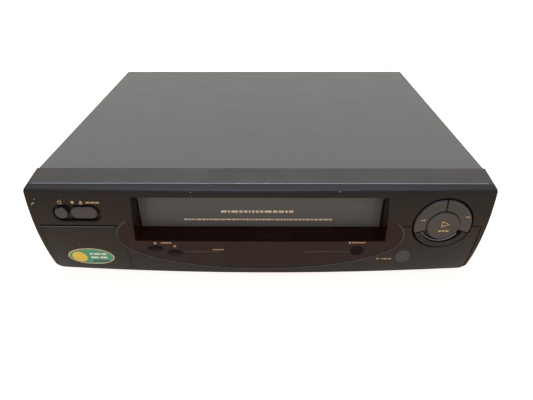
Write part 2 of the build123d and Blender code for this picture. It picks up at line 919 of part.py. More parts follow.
ribbon = 0.6
with BuildPart() as ribbon_cable:
    with BuildSketch(Plane.YZ.offset(130)) as ribbon_path:
        with BuildLine():
            Polyline(
                (behind(front_board_y + board + ribbon / 2), 36),
                (behind(front_board_y + board + ribbon / 2), 26),
                (behind(31), 21),
                (behind(38), main_board_z + board + ribbon / 2),
                (behind(48), main_board_z + board + ribbon / 2),
            )
        trace(line_width=ribbon)
    extrude(amount=30)
save(ribbon_cable, "ribbon_cable")

# ---------------------------------------------------------------- front jacks
housing_front = 5.5
housing_wall = 1.5
housing_left, housing_right = 2.0 - flap_left, -flap_right - 3.5
housing_low, housing_high = 17.0, 57.0
housing_floor = front_board_y - housing_wall
front_jacks = [(front_jack_x + front_jack_pitch * step, front_jack_z) for step in (-1, 0, 1)]
with BuildPart() as front_av_housing:
    add(
        block(
            housing_left, housing_right, housing_front, front_board_y, housing_low, housing_high
        )
    )
    add(
        block(
            housing_left + housing_wall,
            housing_right - housing_wall,
            0,
            housing_floor,
            housing_low + housing_wall,
            housing_high - housing_wall,
        ),
        mode=Mode.SUBTRACT,
    )
    for x, z in front_jacks:
        add(depth_pin(x, 0, front_board_y + 1, z, jack_radius + running), mode=Mode.SUBTRACT)
save(front_av_housing, "front_av_housing")


def phono_socket(x, z, root, shoulder, tip):
    """Phono socket along Y: sleeve with a hollow centre on a shoulder that ends at a depth."""
    out = 1 if tip > root else -1
    with BuildPart() as socket:
        add(depth_pin(x, *sorted((root, tip)), z, jack_radius))
        add(depth_pin(x, *sorted((root, shoulder)), z, jack_radius + jack_shoulder))
        chamfer(faces().sort_by(Axis.Y)[-1 if out > 0 else 0].edges(), 0.4)
        hollow_front, hollow_rear = sorted((tip - out * 8.0, tip + out))
        add(depth_pin(x, hollow_front, hollow_rear, z, jack_hole), mode=Mode.SUBTRACT)
    return socket.part


with BuildPart() as front_av_jacks:
    for x, z in front_jacks:
        add(
            phono_socket(
                x, z, housing_floor, housing_floor - shoulder_reach, housing_floor - jack_length
            )
        )
        add(depth_pin(x, housing_floor, front_board_y, z, jack_radius))
save(front_av_jacks, "front_av_jacks")

# ---------------------------------------------------------------- folded steel case
flange_height = 12.0
lap = 0.2
cover_low = floor_z + 1.0
rear_span = body_depth - strip_depth
screw_x = half_width - 30.0
screw_z = body_height - 6.5
pan_half = half_width - sheet - lap
pan_front = strip_depth + 0.3
rear_outer = body_depth - sheet
rear_inner = rear_outer - panel
with BuildPart() as top_cover:
    with BuildSketch(front_plane(cover_rear_y)):
        with BuildLine():
            Polyline(
                (-half_width + sheet / 2, cover_low),
                (-half_width + sheet / 2, body_height - sheet / 2),
                (half_width - sheet / 2, body_height - sheet / 2),
                (half_width - sheet / 2, cover_low),
            )
        trace(line_width=sheet)
    extrude(amount=rear_span)
    outer_bends = (
        edges().filter_by(Axis.Y).filter_by(lambda edge: edge.center().Z > body_height - 0.1)
    )
    fillet(outer_bends, cover_bend)
    add(
        block(
            -half_width + sheet,
            half_width - sheet,
            rear_outer,
            body_depth,
            body_height - flange_height,
            body_height - sheet,
        )
    )
    with BuildSketch(front_plane(cover_rear_y)):
        with Locations((-screw_x, screw_z), (0, screw_z), (screw_x, screw_z)):
            Circle(2.1)
    extrude(amount=sheet, mode=Mode.SUBTRACT)
    # cooling slots in both sides
    with BuildSketch(Plane.YZ):
        with Locations((behind(215), 40), (behind(215), 58)):
            with GridLocations(7, 0, 16, 1):
                SlotOverall(13, 2.6, rotation=90)
    extrude(amount=body_width, both=True, mode=Mode.SUBTRACT)
save(top_cover, "top_cover")

with BuildPart() as cover_screws:
    for x in (-screw_x, 0, screw_x):
        add(
            [depth_pin(x, body_depth, body_depth + 2.2, screw_z, 4.0),
            depth_pin(x, rear_inner - 6, body_depth, screw_z, 1.9)],
        )
    chamfer(faces().group_by(Axis.Y)[-1].edges(), 0.8)
    with BuildSketch(front_plane(behind(body_depth + 2.2))):
        with Locations((-screw_x, screw_z), (0, screw_z), (screw_x, screw_z)):
            Rectangle(4.4, 1.0)
            Rectangle(1.0, 4.4)
    extrude(amount=1.2, mode=Mode.SUBTRACT)
save(cover_screws, "cover_screws")

pillars = [(-100.0, 45.0), (100.0, 45.0), (-100.0, 250.0), (100.0, 250.0)]
standoff_x = half_width - 20.0
standoffs = [
    (-standoff_x, 40.0),
    (standoff_x, 40.0),
    (-standoff_x, 262.0),
    (standoff_x, 225.0),
    (0.0, 40.0),
    (0.0, 262.0),
]
with BuildPart() as bottom_chassis:
    add(
        [block(-pan_half, pan_half, pan_front, rear_inner, floor_z, pan_top_z),
        block(-pan_half, panel - pan_half, pan_front, rear_inner, floor_z, pan_top_z + flange_height),
        block(pan_half - panel, pan_half, pan_front, rear_inner, floor_z, pan_top_z + flange_height)],
    )
    for x, y in pillars:
        add(post(x, y, pan_top_z - 0.5, deck_z, 4.0))
    for x, y in standoffs:
        add(post(x, y, pan_top_z - 0.5, main_board_z, 3.0))
    with BuildSketch(Plane.XY.offset(floor_z)):
        with Locations((-120, behind(190)), (130, behind(130))):
            with GridLocations(8, 0, 9, 1):
                SlotOverall(44, 3, rotation=90)
    extrude(amount=panel, mode=Mode.SUBTRACT)
save(bottom_chassis, "bottom_chassis")

feet_places = [
    (side * (half_width - foot_inset_x), y)
    for side in (-1, 1)
    for y in (strip_depth + 18.0, body_depth - foot_inset_y)
]
with BuildPart() as feet:
    for x, y in feet_places:
        add(post(x, y, 0.0, foot_height, foot_radius))
    chamfer(faces().group_by(Axis.Z)[0].edges(), 1.2)
save(feet, "feet")

# ---------------------------------------------------------------- sockets at the rear
rear_jacks = [(60.0, 30.0), (60.0, 50.0), (78.0, 30.0), (78.0, 50.0)]
tuner_left, tuner_right = deck_half + 8.0, half_width - 8.0
aerial_in_x, aerial_out_x, aerial_z = tuner_right - 15.0, tuner_left + 14.0, 42.0
aerial_in_radius = 6.2
inlet_x, inlet_z = 30.0 - half_width, 34.0
inlet_length, inlet_height = 22.0, 13.0
with BuildPart() as rear_panel:
    add(block(-pan_half, pan_half, rear_inner, rear_outer, floor_z, body_height - 1.5))
    with BuildSketch(front_plane(behind(rear_outer))):
        with Locations(*rear_jacks):
            Circle(jack_radius + jack_shoulder + lap)
        with Locations((aerial_in_x, aerial_z), (aerial_out_x, aerial_z)):
            Circle(aerial_in_radius + lap)
        with Locations((inlet_x, inlet_z)):
            SlotOverall(inlet_length + 2 * lap, inlet_height + 2 * lap)
        with Locations((-screw_x, screw_z), (0, screw_z), (screw_x, screw_z)):
            Circle(2.1)
        with Locations((-60, 46)):
            with GridLocations(6, 0, 16, 1):
                SlotOverall(34, 2.4, rotation=90)
    extrude(amount=panel, mode=Mode.SUBTRACT)
save(rear_panel, "rear_panel")

board_top = main_board_z + board
with BuildPart() as rear_av_jacks:
    add(block(50, 88, 268, rear_inner, board_top, 61))
    for x, z in rear_jacks:
        add(
            phono_socket(
                x, z, rear_inner - 1.0, body_depth + shoulder_reach, body_depth + plug_reach - 0.5
            )
        )
save(rear_av_jacks, "rear_av_jacks")

with BuildPart() as tuner_module:
    add(block(tuner_left, tuner_right, 232, rear_inner, board_top, 57))
    chamfer(edges().filter_by(Axis.Z), 1.0)
    # lid seam
    add(block(tuner_left - 6, tuner_right + 6, 231, 300, 53.0, 53.5), mode=Mode.SUBTRACT)
    add(block(tuner_left + 1, tuner_right - 1, 233, rear_inner - 1, 52, 54))
    # aerial out: sleeve round a pin; aerial in: outer shell with a centre contact
    add(depth_pin(aerial_out_x, rear_inner - 1, body_depth + plug_reach, aerial_z, aerial_radius))
    shoulder = body_depth + shoulder_reach
    add(depth_pin(aerial_out_x, rear_inner - 1, shoulder, aerial_z, aerial_in_radius))
    add(
        depth_pin(aerial_out_x, body_depth + 1, body_depth + 12, aerial_z, 4.1),
        mode=Mode.SUBTRACT,
    )
    add(depth_pin(aerial_out_x, body_depth, body_depth + plug_reach - 0.6, aerial_z, 1.15))
    add(depth_pin(aerial_in_x, rear_inner - 1, body_depth + plug_reach, aerial_z, aerial_in_radius))
    add(
        depth_pin(aerial_in_x, body_depth + 1, body_depth + 12, aerial_z, 4.85),
        mode=Mode.SUBTRACT,
    )
    add(depth_pin(aerial_in_x, body_depth, body_depth + plug_reach - 0.6, aerial_z, 2.0))
    add(
        depth_pin(aerial_in_x, body_depth + 2, body_depth + 12, aerial_z, 1.2),
        mode=Mode.SUBTRACT,
    )
save(tuner_module, "tuner_module")

cavity_depth = 10.0
with BuildPart() as mains_inlet:
    with BuildSketch(front_plane(behind(body_depth + 1.0))):
        with Locations((inlet_x, inlet_z)):
            SlotOverall(inlet_length, inlet_height)
    extrude(amount=14)
    add(block(inlet_x - 14, inlet_x + 14, rear_inner - 3, rear_inner, inlet_z - 9, inlet_z + 9))
    with BuildSketch(front_plane(behind(body_depth + 1.0))):
        with Locations((inlet_x, inlet_z)):
            SlotOverall(15.2, 8.4)
    extrude(amount=cavity_depth, mode=Mode.SUBTRACT)
    for side in (-1, 1):
        add(depth_pin(inlet_x + side * 4.3, body_depth - 11, body_depth - 0.5, inlet_z, 1.2))
save(mains_inlet, "mains_inlet")

# ---------------------------------------------------------------- main board and its large parts
with BuildPart() as main_board:
    add(block(10 - half_width, half_width - 8, 30, 280, main_board_z, board_top))
    with BuildSketch(Plane.XY.offset(main_board_z)):
        with Locations(*[(x, behind(y)) for x, y in pillars]):
            Circle(4.5)
    extrude(amount=board, mode=Mode.SUBTRACT)
    # integrated circuits, coils and connectors
    add(
        [block(side_middle - 26, side_middle + 14, 70, 84, board_top, board_top + 4),
        block(side_middle - 26, side_middle + 2, 100, 112, board_top, board_top + 4),
        block(side_middle - 16, side_middle + 8, 130, 154, board_top, board_top + 3),
        block(side_middle - 24, side_middle - 4, 176, 186, board_top, board_top + 12),
        block(side_middle + 4, side_middle + 22, 176, 194, board_top, board_top + 14),
        block(-34, 2, 120, 134, board_top, board_top + 4),
        block(-80, -52, 92, 104, board_top, board_top + 4),
        block(-84, -66, 205, 223, board_top, board_top + 3),
        block(-side_middle - 22, 24 - side_middle, 214, 226, board_top, board_top + 16)],
    )
    for x, y in ((-20, 206), (-8, 206), (4, 212), (16, 206), (-20, 160)):
        add(post(side_middle + x, y, board_top, board_top + 11, 4.0))
    for x in (-60, -44):
        add(post(x, 240, board_top, board_top + 11, 4.0))
save(main_board, "main_board")

core_left, core_right = 15 - half_width, -deck_half - 7
with BuildPart() as power_transformer:
    add(
        [block(core_left, core_right, 75, 115, board_top, board_top + 4),
        block(core_left, core_right, 83, 107, board_top, board_top + 40),
        block(core_left + 8, core_right - 8, 75, 115, board_top, board_top + 34)],
    )
    chamfer(edges().filter_by(Axis.Y).group_by(Axis.Z)[-1], 1.5)
save(power_transformer, "power_transformer")

with BuildPart() as smoothing_capacitors:
    for x in (-17, 0, 17):
        add(post(x - side_middle, 150, board_top, board_top + 31, 8.0))
    chamfer(faces().group_by(Axis.Z)[-1].edges(), 0.8)
save(smoothing_capacitors, "smoothing_capacitors")

with BuildPart() as heat_sink:
    add(block(-side_middle - 8, 26 - side_middle, 186, 189, board_top, board_top + 42))
    with BuildSketch(Plane.XY.offset(board_top + 3)):
        with Locations((9 - side_middle, behind(191.8))):
            with GridLocations(4, 0, 9, 1):
                Rectangle(1.4, 6.0)
    extrude(amount=39)
save(heat_sink, "heat_sink")

# ---------------------------------------------------------------- tape deck plate
reel_post = 1.5
pivot_post = 2.0
pinch_pivot = (76.0, 150.0)
tension_pivot = (-80.0, 135.0)
cam_x, cam_y = 84.0, 238.0
motor_y = 218.7
motor_z = 38.5
motor_radius = 7.9
guide_starts = {-1: (-28.0, 140.0), 1: (28.0, 140.0)}
guide_ends = {-1: (-42.0, 190.0), 1: (42.0, 190.0)}
guide_travel = sqrt(14.0**2 + 50.0**2)
guide_slot = 4.3
bearing_radius = 5.0
bearing_flange = 1.8
clutch_hub = 3.0
reel_base = deck_top + 0.5
thrust = 0.05
deck_posts = [
    (-reel_x, reel_y, deck_top + 16.0, reel_post),
    (reel_x, reel_y, deck_top + 16.0, reel_post),
    (*pinch_pivot, 40.5, pivot_post),
    (*tension_pivot, 34.0, pivot_post),
    (cam_x, cam_y, 42.0, pivot_post),
]
with BuildPart() as deck_plate:
    add(block(-deck_half, deck_half, deck_front, deck_rear, deck_z, deck_top))
    # folded edges that stiffen the plate
    add(
        [
            block(-deck_half, deck_half, deck_front, deck_front + 1.2, deck_z - 6, deck_top),
            block(-deck_half, deck_half, deck_rear - 1.2, deck_rear, deck_z - 6, deck_top),
        ]
    )
    with BuildSketch(Plane.XY.offset(deck_z)):
        with Locations((0, behind(drum_y - 1.6))):
            Circle(27.0)
        with Locations((capstan_x, behind(capstan_y))):
            Circle(bearing_radius + 0.05)
        with Locations((0, behind(clutch_y))):
            Circle(clutch_hub + running)
        for side in (-1, 1):
            (x0, y0), (x1, y1) = guide_starts[side], guide_ends[side]
            with Locations(((x0 + x1) / 2, behind((y0 + y1) / 2))):
                SlotOverall(
                    guide_travel + guide_slot + 2.0,
                    guide_slot,
                    rotation=90 + side * -degrees(acos(50.0 / guide_travel)),
                )
        # weight-saving openings
        with Locations((-74, behind(64)), (74, behind(64))):
            RectangleRounded(34, 26, 4)
        with Locations((-82, behind(222))):
            RectangleRounded(28, 40, 4)
        with Locations((0, behind(120))):
            RectangleRounded(26, 20, 4)
    extrude(amount=deck_thickness, mode=Mode.SUBTRACT)
    for x, y, top, radius in deck_posts:
        add(post(x, y, deck_top - 0.5, top, radius))
    for x, y in ((-reel_x, reel_y), (reel_x, reel_y), pinch_pivot, tension_pivot, (cam_x, cam_y)):
        add(post(x, y, deck_top - 0.5, reel_base - thrust, 4.0))
save(deck_plate, "deck_plate")


# ---------------------------------------------------------------- reels, clutch and idler
def reel_table(x):
    """Reel table: hub, friction rim and a spindle with three driving fins."""
    with BuildPart() as table:
        add(
            [
                post(x, reel_y, reel_base, 32.5, 8.0),
                post(x, reel_y, 32.0, 35.0, reel_flange),
                post(x, reel_y, 35.0, 37.0, 8.5),
                post(x, reel_y, 36.5, reel_base + spindle_height - 0.5, 4.4),
            ]
        )
        with BuildSketch(Plane.XY.offset(37.0)):
            with Locations((x, behind(reel_y))):
                with PolarLocations(4.8, 3):
                    Rectangle(2.4, 1.6)
        extrude(amount=7.0)
        # shallow ring groove in the top of the rim
        with BuildSketch(Plane.XY.offset(35.0)):
            with Locations((x, behind(reel_y))):
                Circle(15.0)
                Circle(11.0, mode=Mode.SUBTRACT)
        extrude(amount=-0.8, mode=Mode.SUBTRACT)
        add(post(x, reel_y, 30.0, 60.0, reel_post + running), mode=Mode.SUBTRACT)
    return table


save(reel_table(-reel_x), "supply_reel_table")
save(reel_table(reel_x), "take_up_reel_table")

wheel_low, wheel_high = 32.2, 34.8
with BuildPart() as clutch_wheel:
    add(
        [
            post(0, clutch_y, 17.2, 19.8, clutch_pulley),
            post(0, clutch_y, 19.0, 28.7, 6.0),
            post(0, clutch_y, 28.0, wheel_high, clutch_hub),
            post(0, clutch_y, wheel_low, wheel_high, clutch_wheel_radius),
        ]
    )
    with BuildSketch(Plane.XY.offset(19.8)):
        with Locations((0, behind(clutch_y))):
            with PolarLocations(9.5, 5):
                Circle(2.0)
    extrude(amount=-3, mode=Mode.SUBTRACT)
save(clutch_wheel, "clutch_wheel")

idler_length = clutch_wheel_radius + idler_radius + wheel_gap
idler_y = clutch_y + idler_length
with BuildPart() as idler_arm:
    with BuildSketch(Plane.XY.offset(30.8)):
        with Locations((0, behind(clutch_y + idler_length / 2))):
            SlotOverall(idler_length + 12, 12, rotation=90)
        with Locations((0, behind(clutch_y))):
            Circle(clutch_hub + 0.1, mode=Mode.SUBTRACT)
    extrude(amount=1.0)
    add(post(0, idler_y, 31.0, 36.0, 1.5))
save(idler_arm, "idler_arm")

with BuildPart() as idler_wheel:
    add(post(0, idler_y, wheel_low, wheel_high, idler_radius))
    add(post(0, idler_y, wheel_high - 0.5, 36.0, 3.5))
    with BuildSketch(Plane.XY.offset(wheel_high)):
        with Locations((0, behind(idler_y))):
            with PolarLocations(8.0, 6):
                Circle(2.2)
    extrude(amount=-4, mode=Mode.SUBTRACT)
    add(post(0, idler_y, 30.0, 40.0, 1.5 + running), mode=Mode.SUBTRACT)
save(idler_wheel, "idler_wheel")

# ---------------------------------------------------------------- head drum
tilt = radians(drum_tilt)
drum_mid = (0.0, behind(drum_y), 48.2)
drum_frame = Plane(origin=drum_mid, x_dir=(1, 0, 0), z_dir=(0, sin(tilt), cos(tilt)))


def drum_disc(low, high, radius):
    """Cylinder on the tilted axis of the head drum."""
    with BuildPart() as disc:
        with BuildSketch(drum_frame.offset(low)):
            Circle(radius)
        extrude(amount=high - low)
    return disc.part


drum_shaft = 3.0
with BuildPart() as lower_drum:
    add(drum_disc(-22.0, -0.2, drum_radius))
    # sloping ledge that guides the lower edge of the tape
    add(drum_disc(-22.0, -11.0, drum_radius + 0.6))
    add(block(-50, 50, 150, 250, 0, deck_top), mode=Mode.SUBTRACT)
    add([drum_disc(-27.5, -16.0, 24.0), drum_disc(-17.0, 14.0, drum_shaft)])
save(lower_drum, "lower_drum")

with BuildPart() as upper_drum:
    add([drum_disc(0.2, 14.0, drum_radius), drum_disc(13.0, 16.5, 13.0)])
    chamfer(faces().filter_by(GeomType.PLANE).sort_by(Axis.Z)[-1].edges(), 0.8)
    # balance holes in the top and the windows of the two video heads
    with BuildSketch(drum_frame.offset(14.0)):
        with PolarLocations(22.0, 6):
            Circle(2.6)
    extrude(amount=-4, mode=Mode.SUBTRACT)
    with BuildSketch(drum_frame.offset(0.2)):
        with PolarLocations(drum_radius, 2):
            Rectangle(3.0, 4.0)
    extrude(amount=2.2, mode=Mode.SUBTRACT)
    add(drum_disc(-1.0, 14.3, drum_shaft + running), mode=Mode.SUBTRACT)
save(upper_drum, "upper_drum")


def tape_head(x, y, turn, low, high):
    """Fixed tape head: screened block with a rounded face on a base plate."""
    with BuildPart() as head:
        with BuildSketch(Plane.XY.offset(low)):
            with Locations(Location((x, behind(y), 0), (0, 0, turn))):
                Rectangle(11, 8)
                with Locations((0, -4)):
                    Ellipse(4.5, 2.0)
        extrude(amount=high - low)
        with BuildSketch(Plane.XY.offset(deck_top)):
            with Locations(Location((x, behind(y), 0), (0, 0, turn))):
                RectangleRounded(15, 11, 1.5)
        extrude(amount=1.5)
        with BuildSketch(Plane.XY.offset(deck_top)):
            with Locations(Location((x, behind(y), 0), (0, 0, turn))):
                Rectangle(6, 5)
        extrude(amount=low - deck_top + 0.5)
    return head


save(tape_head(-60.0, 184.0, 35.0, 38.0, 55.0), "erase_head")
save(tape_head(60.0, 188.0, -35.0, 38.0, 57.0), "audio_control_head")

# ---------------------------------------------------------------- capstan and belt
with BuildPart() as capstan_bearing:
    add(
        [
            post(capstan_x, capstan_y, 26.0, 39.0, bearing_radius),
            post(capstan_x, capstan_y, deck_top, deck_top + 2.0, bearing_radius + bearing_flange),
        ]
    )
    add(post(capstan_x, capstan_y, 20, 60, capstan_radius + running), mode=Mode.SUBTRACT)
save(capstan_bearing, "capstan_bearing")

with BuildPart() as capstan:
    add(
        [
            post(capstan_x, capstan_y, 17.0, 60.0, capstan_radius),
            post(capstan_x, capstan_y, 17.2, 20.5, capstan_pulley),
            post(capstan_x, capstan_y, 20.0, 24.5, flywheel_radius),
        ]
    )
    chamfer(faces().sort_by(Axis.Z)[-1].edges(), 0.3)
    with BuildSketch(Plane.XY.offset(24.5)):
        with Locations((capstan_x, behind(capstan_y))):
            Circle(flywheel_radius - 4)
            Circle(7, mode=Mode.SUBTRACT)
    extrude(amount=-1.0, mode=Mode.SUBTRACT)
save(capstan, "capstan")

belt_gap = 0.05
belt_dx = capstan_x
belt_dy = capstan_y - clutch_y
belt_centres = sqrt(belt_dx**2 + belt_dy**2)
belt_turn = degrees(acos(belt_dx / belt_centres))


def belt_loop(grow):
    """Outline of a belt round both pulleys, grown outwards."""
    small = capstan_pulley + grow
    large = clutch_pulley + grow
    lean = degrees(acos((large - small) / belt_centres))
    with BuildSketch() as loop:
        with BuildLine():
            big = CenterArc((0, 0), large, lean, 360 - 2 * lean)
            little = CenterArc((belt_centres, 0), small, -lean, 2 * lean)
            Line(big @ 1, little @ 0)
            Line(little @ 1, big @ 0)
        make_face()
    return loop.sketch


with BuildPart() as drive_belt:
    with BuildSketch(Plane.XY.offset(17.6)):
        with Locations(Location((0, behind(clutch_y), 0), (0, 0, belt_turn))):
            add(belt_loop(belt_gap + belt))
            add(belt_loop(belt_gap), mode=Mode.SUBTRACT)
    extrude(amount=1.8)
save(drive_belt, "drive_belt")

# ---------------------------------------------------------------- pinch roller and tension arm
roller_rest = (54.5, 146.4)
roller_radius = 7.5


def arm_plate(start, end, low, thickness, width):
    """Flat arm between two points, as a round-ended plate."""
    length = sqrt((end[0] - start[0]) ** 2 + (end[1] - start[1]) ** 2)
    turn = degrees(acos((end[0] - start[0]) / length)) * (1 if end[1] > start[1] else -1)
    with BuildPart() as plate:
        with BuildSketch(Plane.XY.offset(low)):
            middle = ((start[0] + end[0]) / 2, behind((start[1] + end[1]) / 2))
            with Locations(middle):
                SlotOverall(length + width, width, rotation=turn)
        extrude(amount=thickness)
    return plate.part


with BuildPart() as pinch_roller_arm:
    add(
        [
            post(*pinch_pivot, reel_base, 40.0, 4.0),
            arm_plate(pinch_pivot, roller_rest, 36.0, 2.0, 7.0),
            post(*roller_rest, 36.5, 56.0, 1.5),
        ]
    )
    add(post(*pinch_pivot, 30.0, 60.0, pivot_post + running), mode=Mode.SUBTRACT)
save(pinch_roller_arm, "pinch_roller_arm")

with BuildPart() as pinch_roller:
    add(post(*roller_rest, 40.0, 54.0, roller_radius))
    chamfer(edges(), 0.6)
    add(post(*roller_rest, 38.4, 55.0, 3.0))
    add(post(*roller_rest, 30.0, 60.0, 1.5 + running), mode=Mode.SUBTRACT)
save(pinch_roller, "pinch_roller")

tension_tip = (-60.0, 158.0)
with BuildPart() as tension_arm:
    add(
        [
            post(*tension_pivot, reel_base, 33.5, 4.0),
            arm_plate(tension_pivot, tension_tip, reel_base, 1.5, 5.0),
            post(*tension_tip, reel_base + 0.5, 57.0, 1.8),
        ]
    )
    add(post(*tension_pivot, 30.0, 60.0, pivot_post + running), mode=Mode.SUBTRACT)
save(tension_arm, "tension_arm")


# ---------------------------------------------------------------- loading guides
def loading_guide(side):
    """Guide block that carries the tape round the drum: flanged roller and slanting pole."""
    x, y = guide_starts[side]
    with BuildPart() as guide:
        with BuildSketch(Plane.XY.offset(deck_top + 0.3)):
            with Locations(Location((x, behind(y), 0), (0, 0, side * 15.6))):
                RectangleRounded(10, 14, 2)
        extrude(amount=3.7)
        add(
            [
                post(x, y, 27.0, 33.0, 2.0),
                post(x, y, 26.4, 28.6, 3.6),
                post(x, y, 34.0, 56.0, 2.8),
                post(x, y, 39.0, 40.0, 4.0),
                post(x, y, 53.5, 54.5, 4.0),
            ]
        )
        slant = Plane(
            origin=(x, behind(y - 4.4), 34.0), x_dir=(1, 0, 0), z_dir=(side * 0.12, 0.1, 1)
        )
        with BuildSketch(slant):
            Circle(1.0)
        extrude(amount=19, both=False)
    return guide


save(loading_guide(-1), "supply_guide")
save(loading_guide(1), "take_up_guide")

# ---------------------------------------------------------------- mode cam and loading motor
pressure = radians(20)


def gear_outline(teeth):
    """Spur gear outline with involute flanks, stub tips and working backlash."""
    pitch = teeth * gear_module / 2
    base = pitch * cos(pressure)
    tip = pitch + 0.8 * gear_module
    root = pitch - 1.1 * gear_module
    involute = tan(pressure) - pressure
    half_tooth = (pi * gear_module / 2 - backlash) / (2 * pitch) + involute
    flank = []
    for step in range(4):
        radius = max(base, root) + (tip - max(base, root)) * step / 3
        angle = acos(min(1.0, base / radius))
        flank.append((radius, half_tooth - (tan(angle) - angle)))
    flank.insert(0, (root, flank[0][1]))
    points = []
    for tooth in range(teeth):
        middle = 2 * pi * tooth / teeth + pi / 2
        for radius, half in flank:
            points.append((radius * cos(middle - half), radius * sin(middle - half)))
        for radius, half in reversed(flank):
            points.append((radius * cos(middle + half), radius * sin(middle + half)))
    with BuildSketch() as outline:
        with BuildLine():
            Polyline(*points, close=True)
        make_face()
    return outline.sketch


with BuildPart() as cam_gear:
    with BuildSketch(Plane.XY.offset(36.0)):
        with Locations((cam_x, behind(cam_y))):
            add(gear_outline(cam_teeth))
    extrude(amount=5.0)
    add(post(cam_x, cam_y, reel_base, 36.5, 13.0))
    # cam track and lightening holes in the top
    with BuildSketch(Plane.XY.offset(41.0)):
        with Locations((cam_x + 1.5, behind(cam_y))):
            Circle(10.0)
            Circle(7.5, mode=Mode.SUBTRACT)
    extrude(amount=-2.0, mode=Mode.SUBTRACT)
    add(post(cam_x, cam_y, 30.0, 60.0, pivot_post + running), mode=Mode.SUBTRACT)
save(cam_gear, "cam_gear")

worm_left, worm_right = 66.0, 97.0
with BuildPart() as worm_shaft:
    add(cross_pin(worm_left, worm_right, motor_y, motor_z, 1.0))
    add(cross_pin(74.0, 94.0, motor_y, motor_z, 3.0))
    # grooves between the worm's threads
    for step in range(6):
        groove_x = 76.0 + 3.14 * step
        add(
            cross_pin(groove_x, groove_x + 1.4, motor_y, motor_z, 4.0)
            - cross_pin(groove_x - 1, groove_x + 3, motor_y, motor_z, 2.0),
            mode=Mode.SUBTRACT,
        )
save(worm_shaft, "worm_shaft")

with BuildPart() as loading_motor:
    add(cross_pin(40.0, 64.0, motor_y, motor_z, motor_radius))
    add(
        [
            block(62.0, 65.5, motor_y - 8, motor_y + 8, deck_top, motor_z + 8),
            block(62.0, 98.5, motor_y - 6.5, motor_y + 4.5, deck_top, deck_top + 1.2),
            block(96.0, 98.5, motor_y - 5, motor_y + 4.5, deck_top, motor_z + 4),
            cross_pin(37.5, 41.0, motor_y, motor_z, 3.0),
        ]
    )
    add(cross_pin(59.0, 120.0, motor_y, motor_z, 1.0 + running), mode=Mode.SUBTRACT)
save(loading_motor, "loading_motor")

# ---------------------------------------------------------------- cassette carriage
bracket_in, bracket_out = 103.0, 104.2
bracket_front, bracket_rear = 44.0, 150.0
slider_in, slider_out = 98.5, 99.5
slider_front, slider_rear = 45.0, 140.0
slider_low, slider_high = 50.0, 70.0
guide_pin_y = (75.0, 105.0)
guide_pin_z = 58.0
holder_pin_y = (60.0, 116.0)
holder_pin_z = 66.0
carriage_pin = 1.5
slot_play = 0.1
gear_y, gear_z = 80.0, 40.0


def across(side, inner, outer):
    """Left and right limits on one side of the deck for two distances from its middle."""
    return sorted((side * inner, side * outer))


def side_slot(side, inner, outer, front, rear, low, high, radius):
    """Round-ended slot through a side plate, between two end centres in depth or height."""
    left, right = across(side, inner, outer)
    with BuildPart() as slot:
        with BuildSketch(Plane.YZ.offset(left)):
            with Locations((behind((front + rear) / 2), (low + high) / 2)):
                if rear > front:
                    SlotCenterToCenter(rear - front, 2 * radius)
                else:
                    SlotCenterToCenter(high - low, 2 * radius, rotation=90)
        extrude(amount=right - left)
    return slot.part


def carriage_bracket(side):
    """Side plate on the deck with the two slots in which the slider runs."""
    left, right = across(side, bracket_in, bracket_out)
    foot_left, foot_right = across(side, bracket_in, deck_half)
    with BuildPart() as bracket:
        add(
            [
                block(left, right, bracket_front, bracket_rear, deck_top, 79.0),
                block(foot_left, foot_right, bracket_front, bracket_rear, deck_top, deck_top + 1.2),
            ]
        )
        chamfer(edges().filter_by(Axis.X).group_by(Axis.Z)[-1], 8.0)
        for y in guide_pin_y:
            add(
                side_slot(
                    side,
                    bracket_in - 1,
                    bracket_out + 1,
                    y,
                    y + holder_travel,
                    guide_pin_z,
                    guide_pin_z,
                    carriage_pin + slot_play,
                ),
                mode=Mode.SUBTRACT,
            )
        # window that lightens the plate
        with BuildSketch(Plane.YZ.offset(left - 1)):
            with Locations((behind(126), 42)):
                RectangleRounded(28, 12, 3)
            with Locations((behind(62), 70)):
                RectangleRounded(18, 8, 3)
        extrude(amount=right - left + 2, mode=Mode.SUBTRACT)
        if side > 0:
            add(cross_pin(97.6, bracket_in + 0.5, gear_y, gear_z, carriage_pin))
    return bracket


save(carriage_bracket(-1), "left_carriage_bracket")
save(carriage_bracket(1), "right_carriage_bracket")

rack_pitch_z = gear_z + gear_teeth * gear_module / 2
tooth_pitch = pi * gear_module


def rack_outline():
    """Rack teeth that point down, with a gap centred over the gear at rest."""
    half = tooth_pitch / 4 - backlash / 2
    tip_half = half - 0.8 * gear_module * tan(pressure)
    root_half = half + 1.1 * gear_module * tan(pressure)
    tip_z = rack_pitch_z - 0.8 * gear_module
    root_z = rack_pitch_z + 1.1 * gear_module
    first = gear_y - 9.5 * tooth_pitch
    points = []
    for tooth in range(13):
        middle = behind(first + tooth * tooth_pitch)
        points.append((middle - root_half, root_z))
        points.append((middle - tip_half, tip_z))
        points.append((middle + tip_half, tip_z))
        points.append((middle + root_half, root_z))
    points.append((points[-1][0] + 0.5, slider_low + 1))
    points.append((points[0][0] - 0.5, slider_low + 1))
    with BuildSketch(Plane.YZ.offset(slider_in)) as outline:
        with BuildLine():
            Polyline(*points, close=True)
        make_face()
    return outline.sketch


rod_y, rod_z = 138.3, 66.0


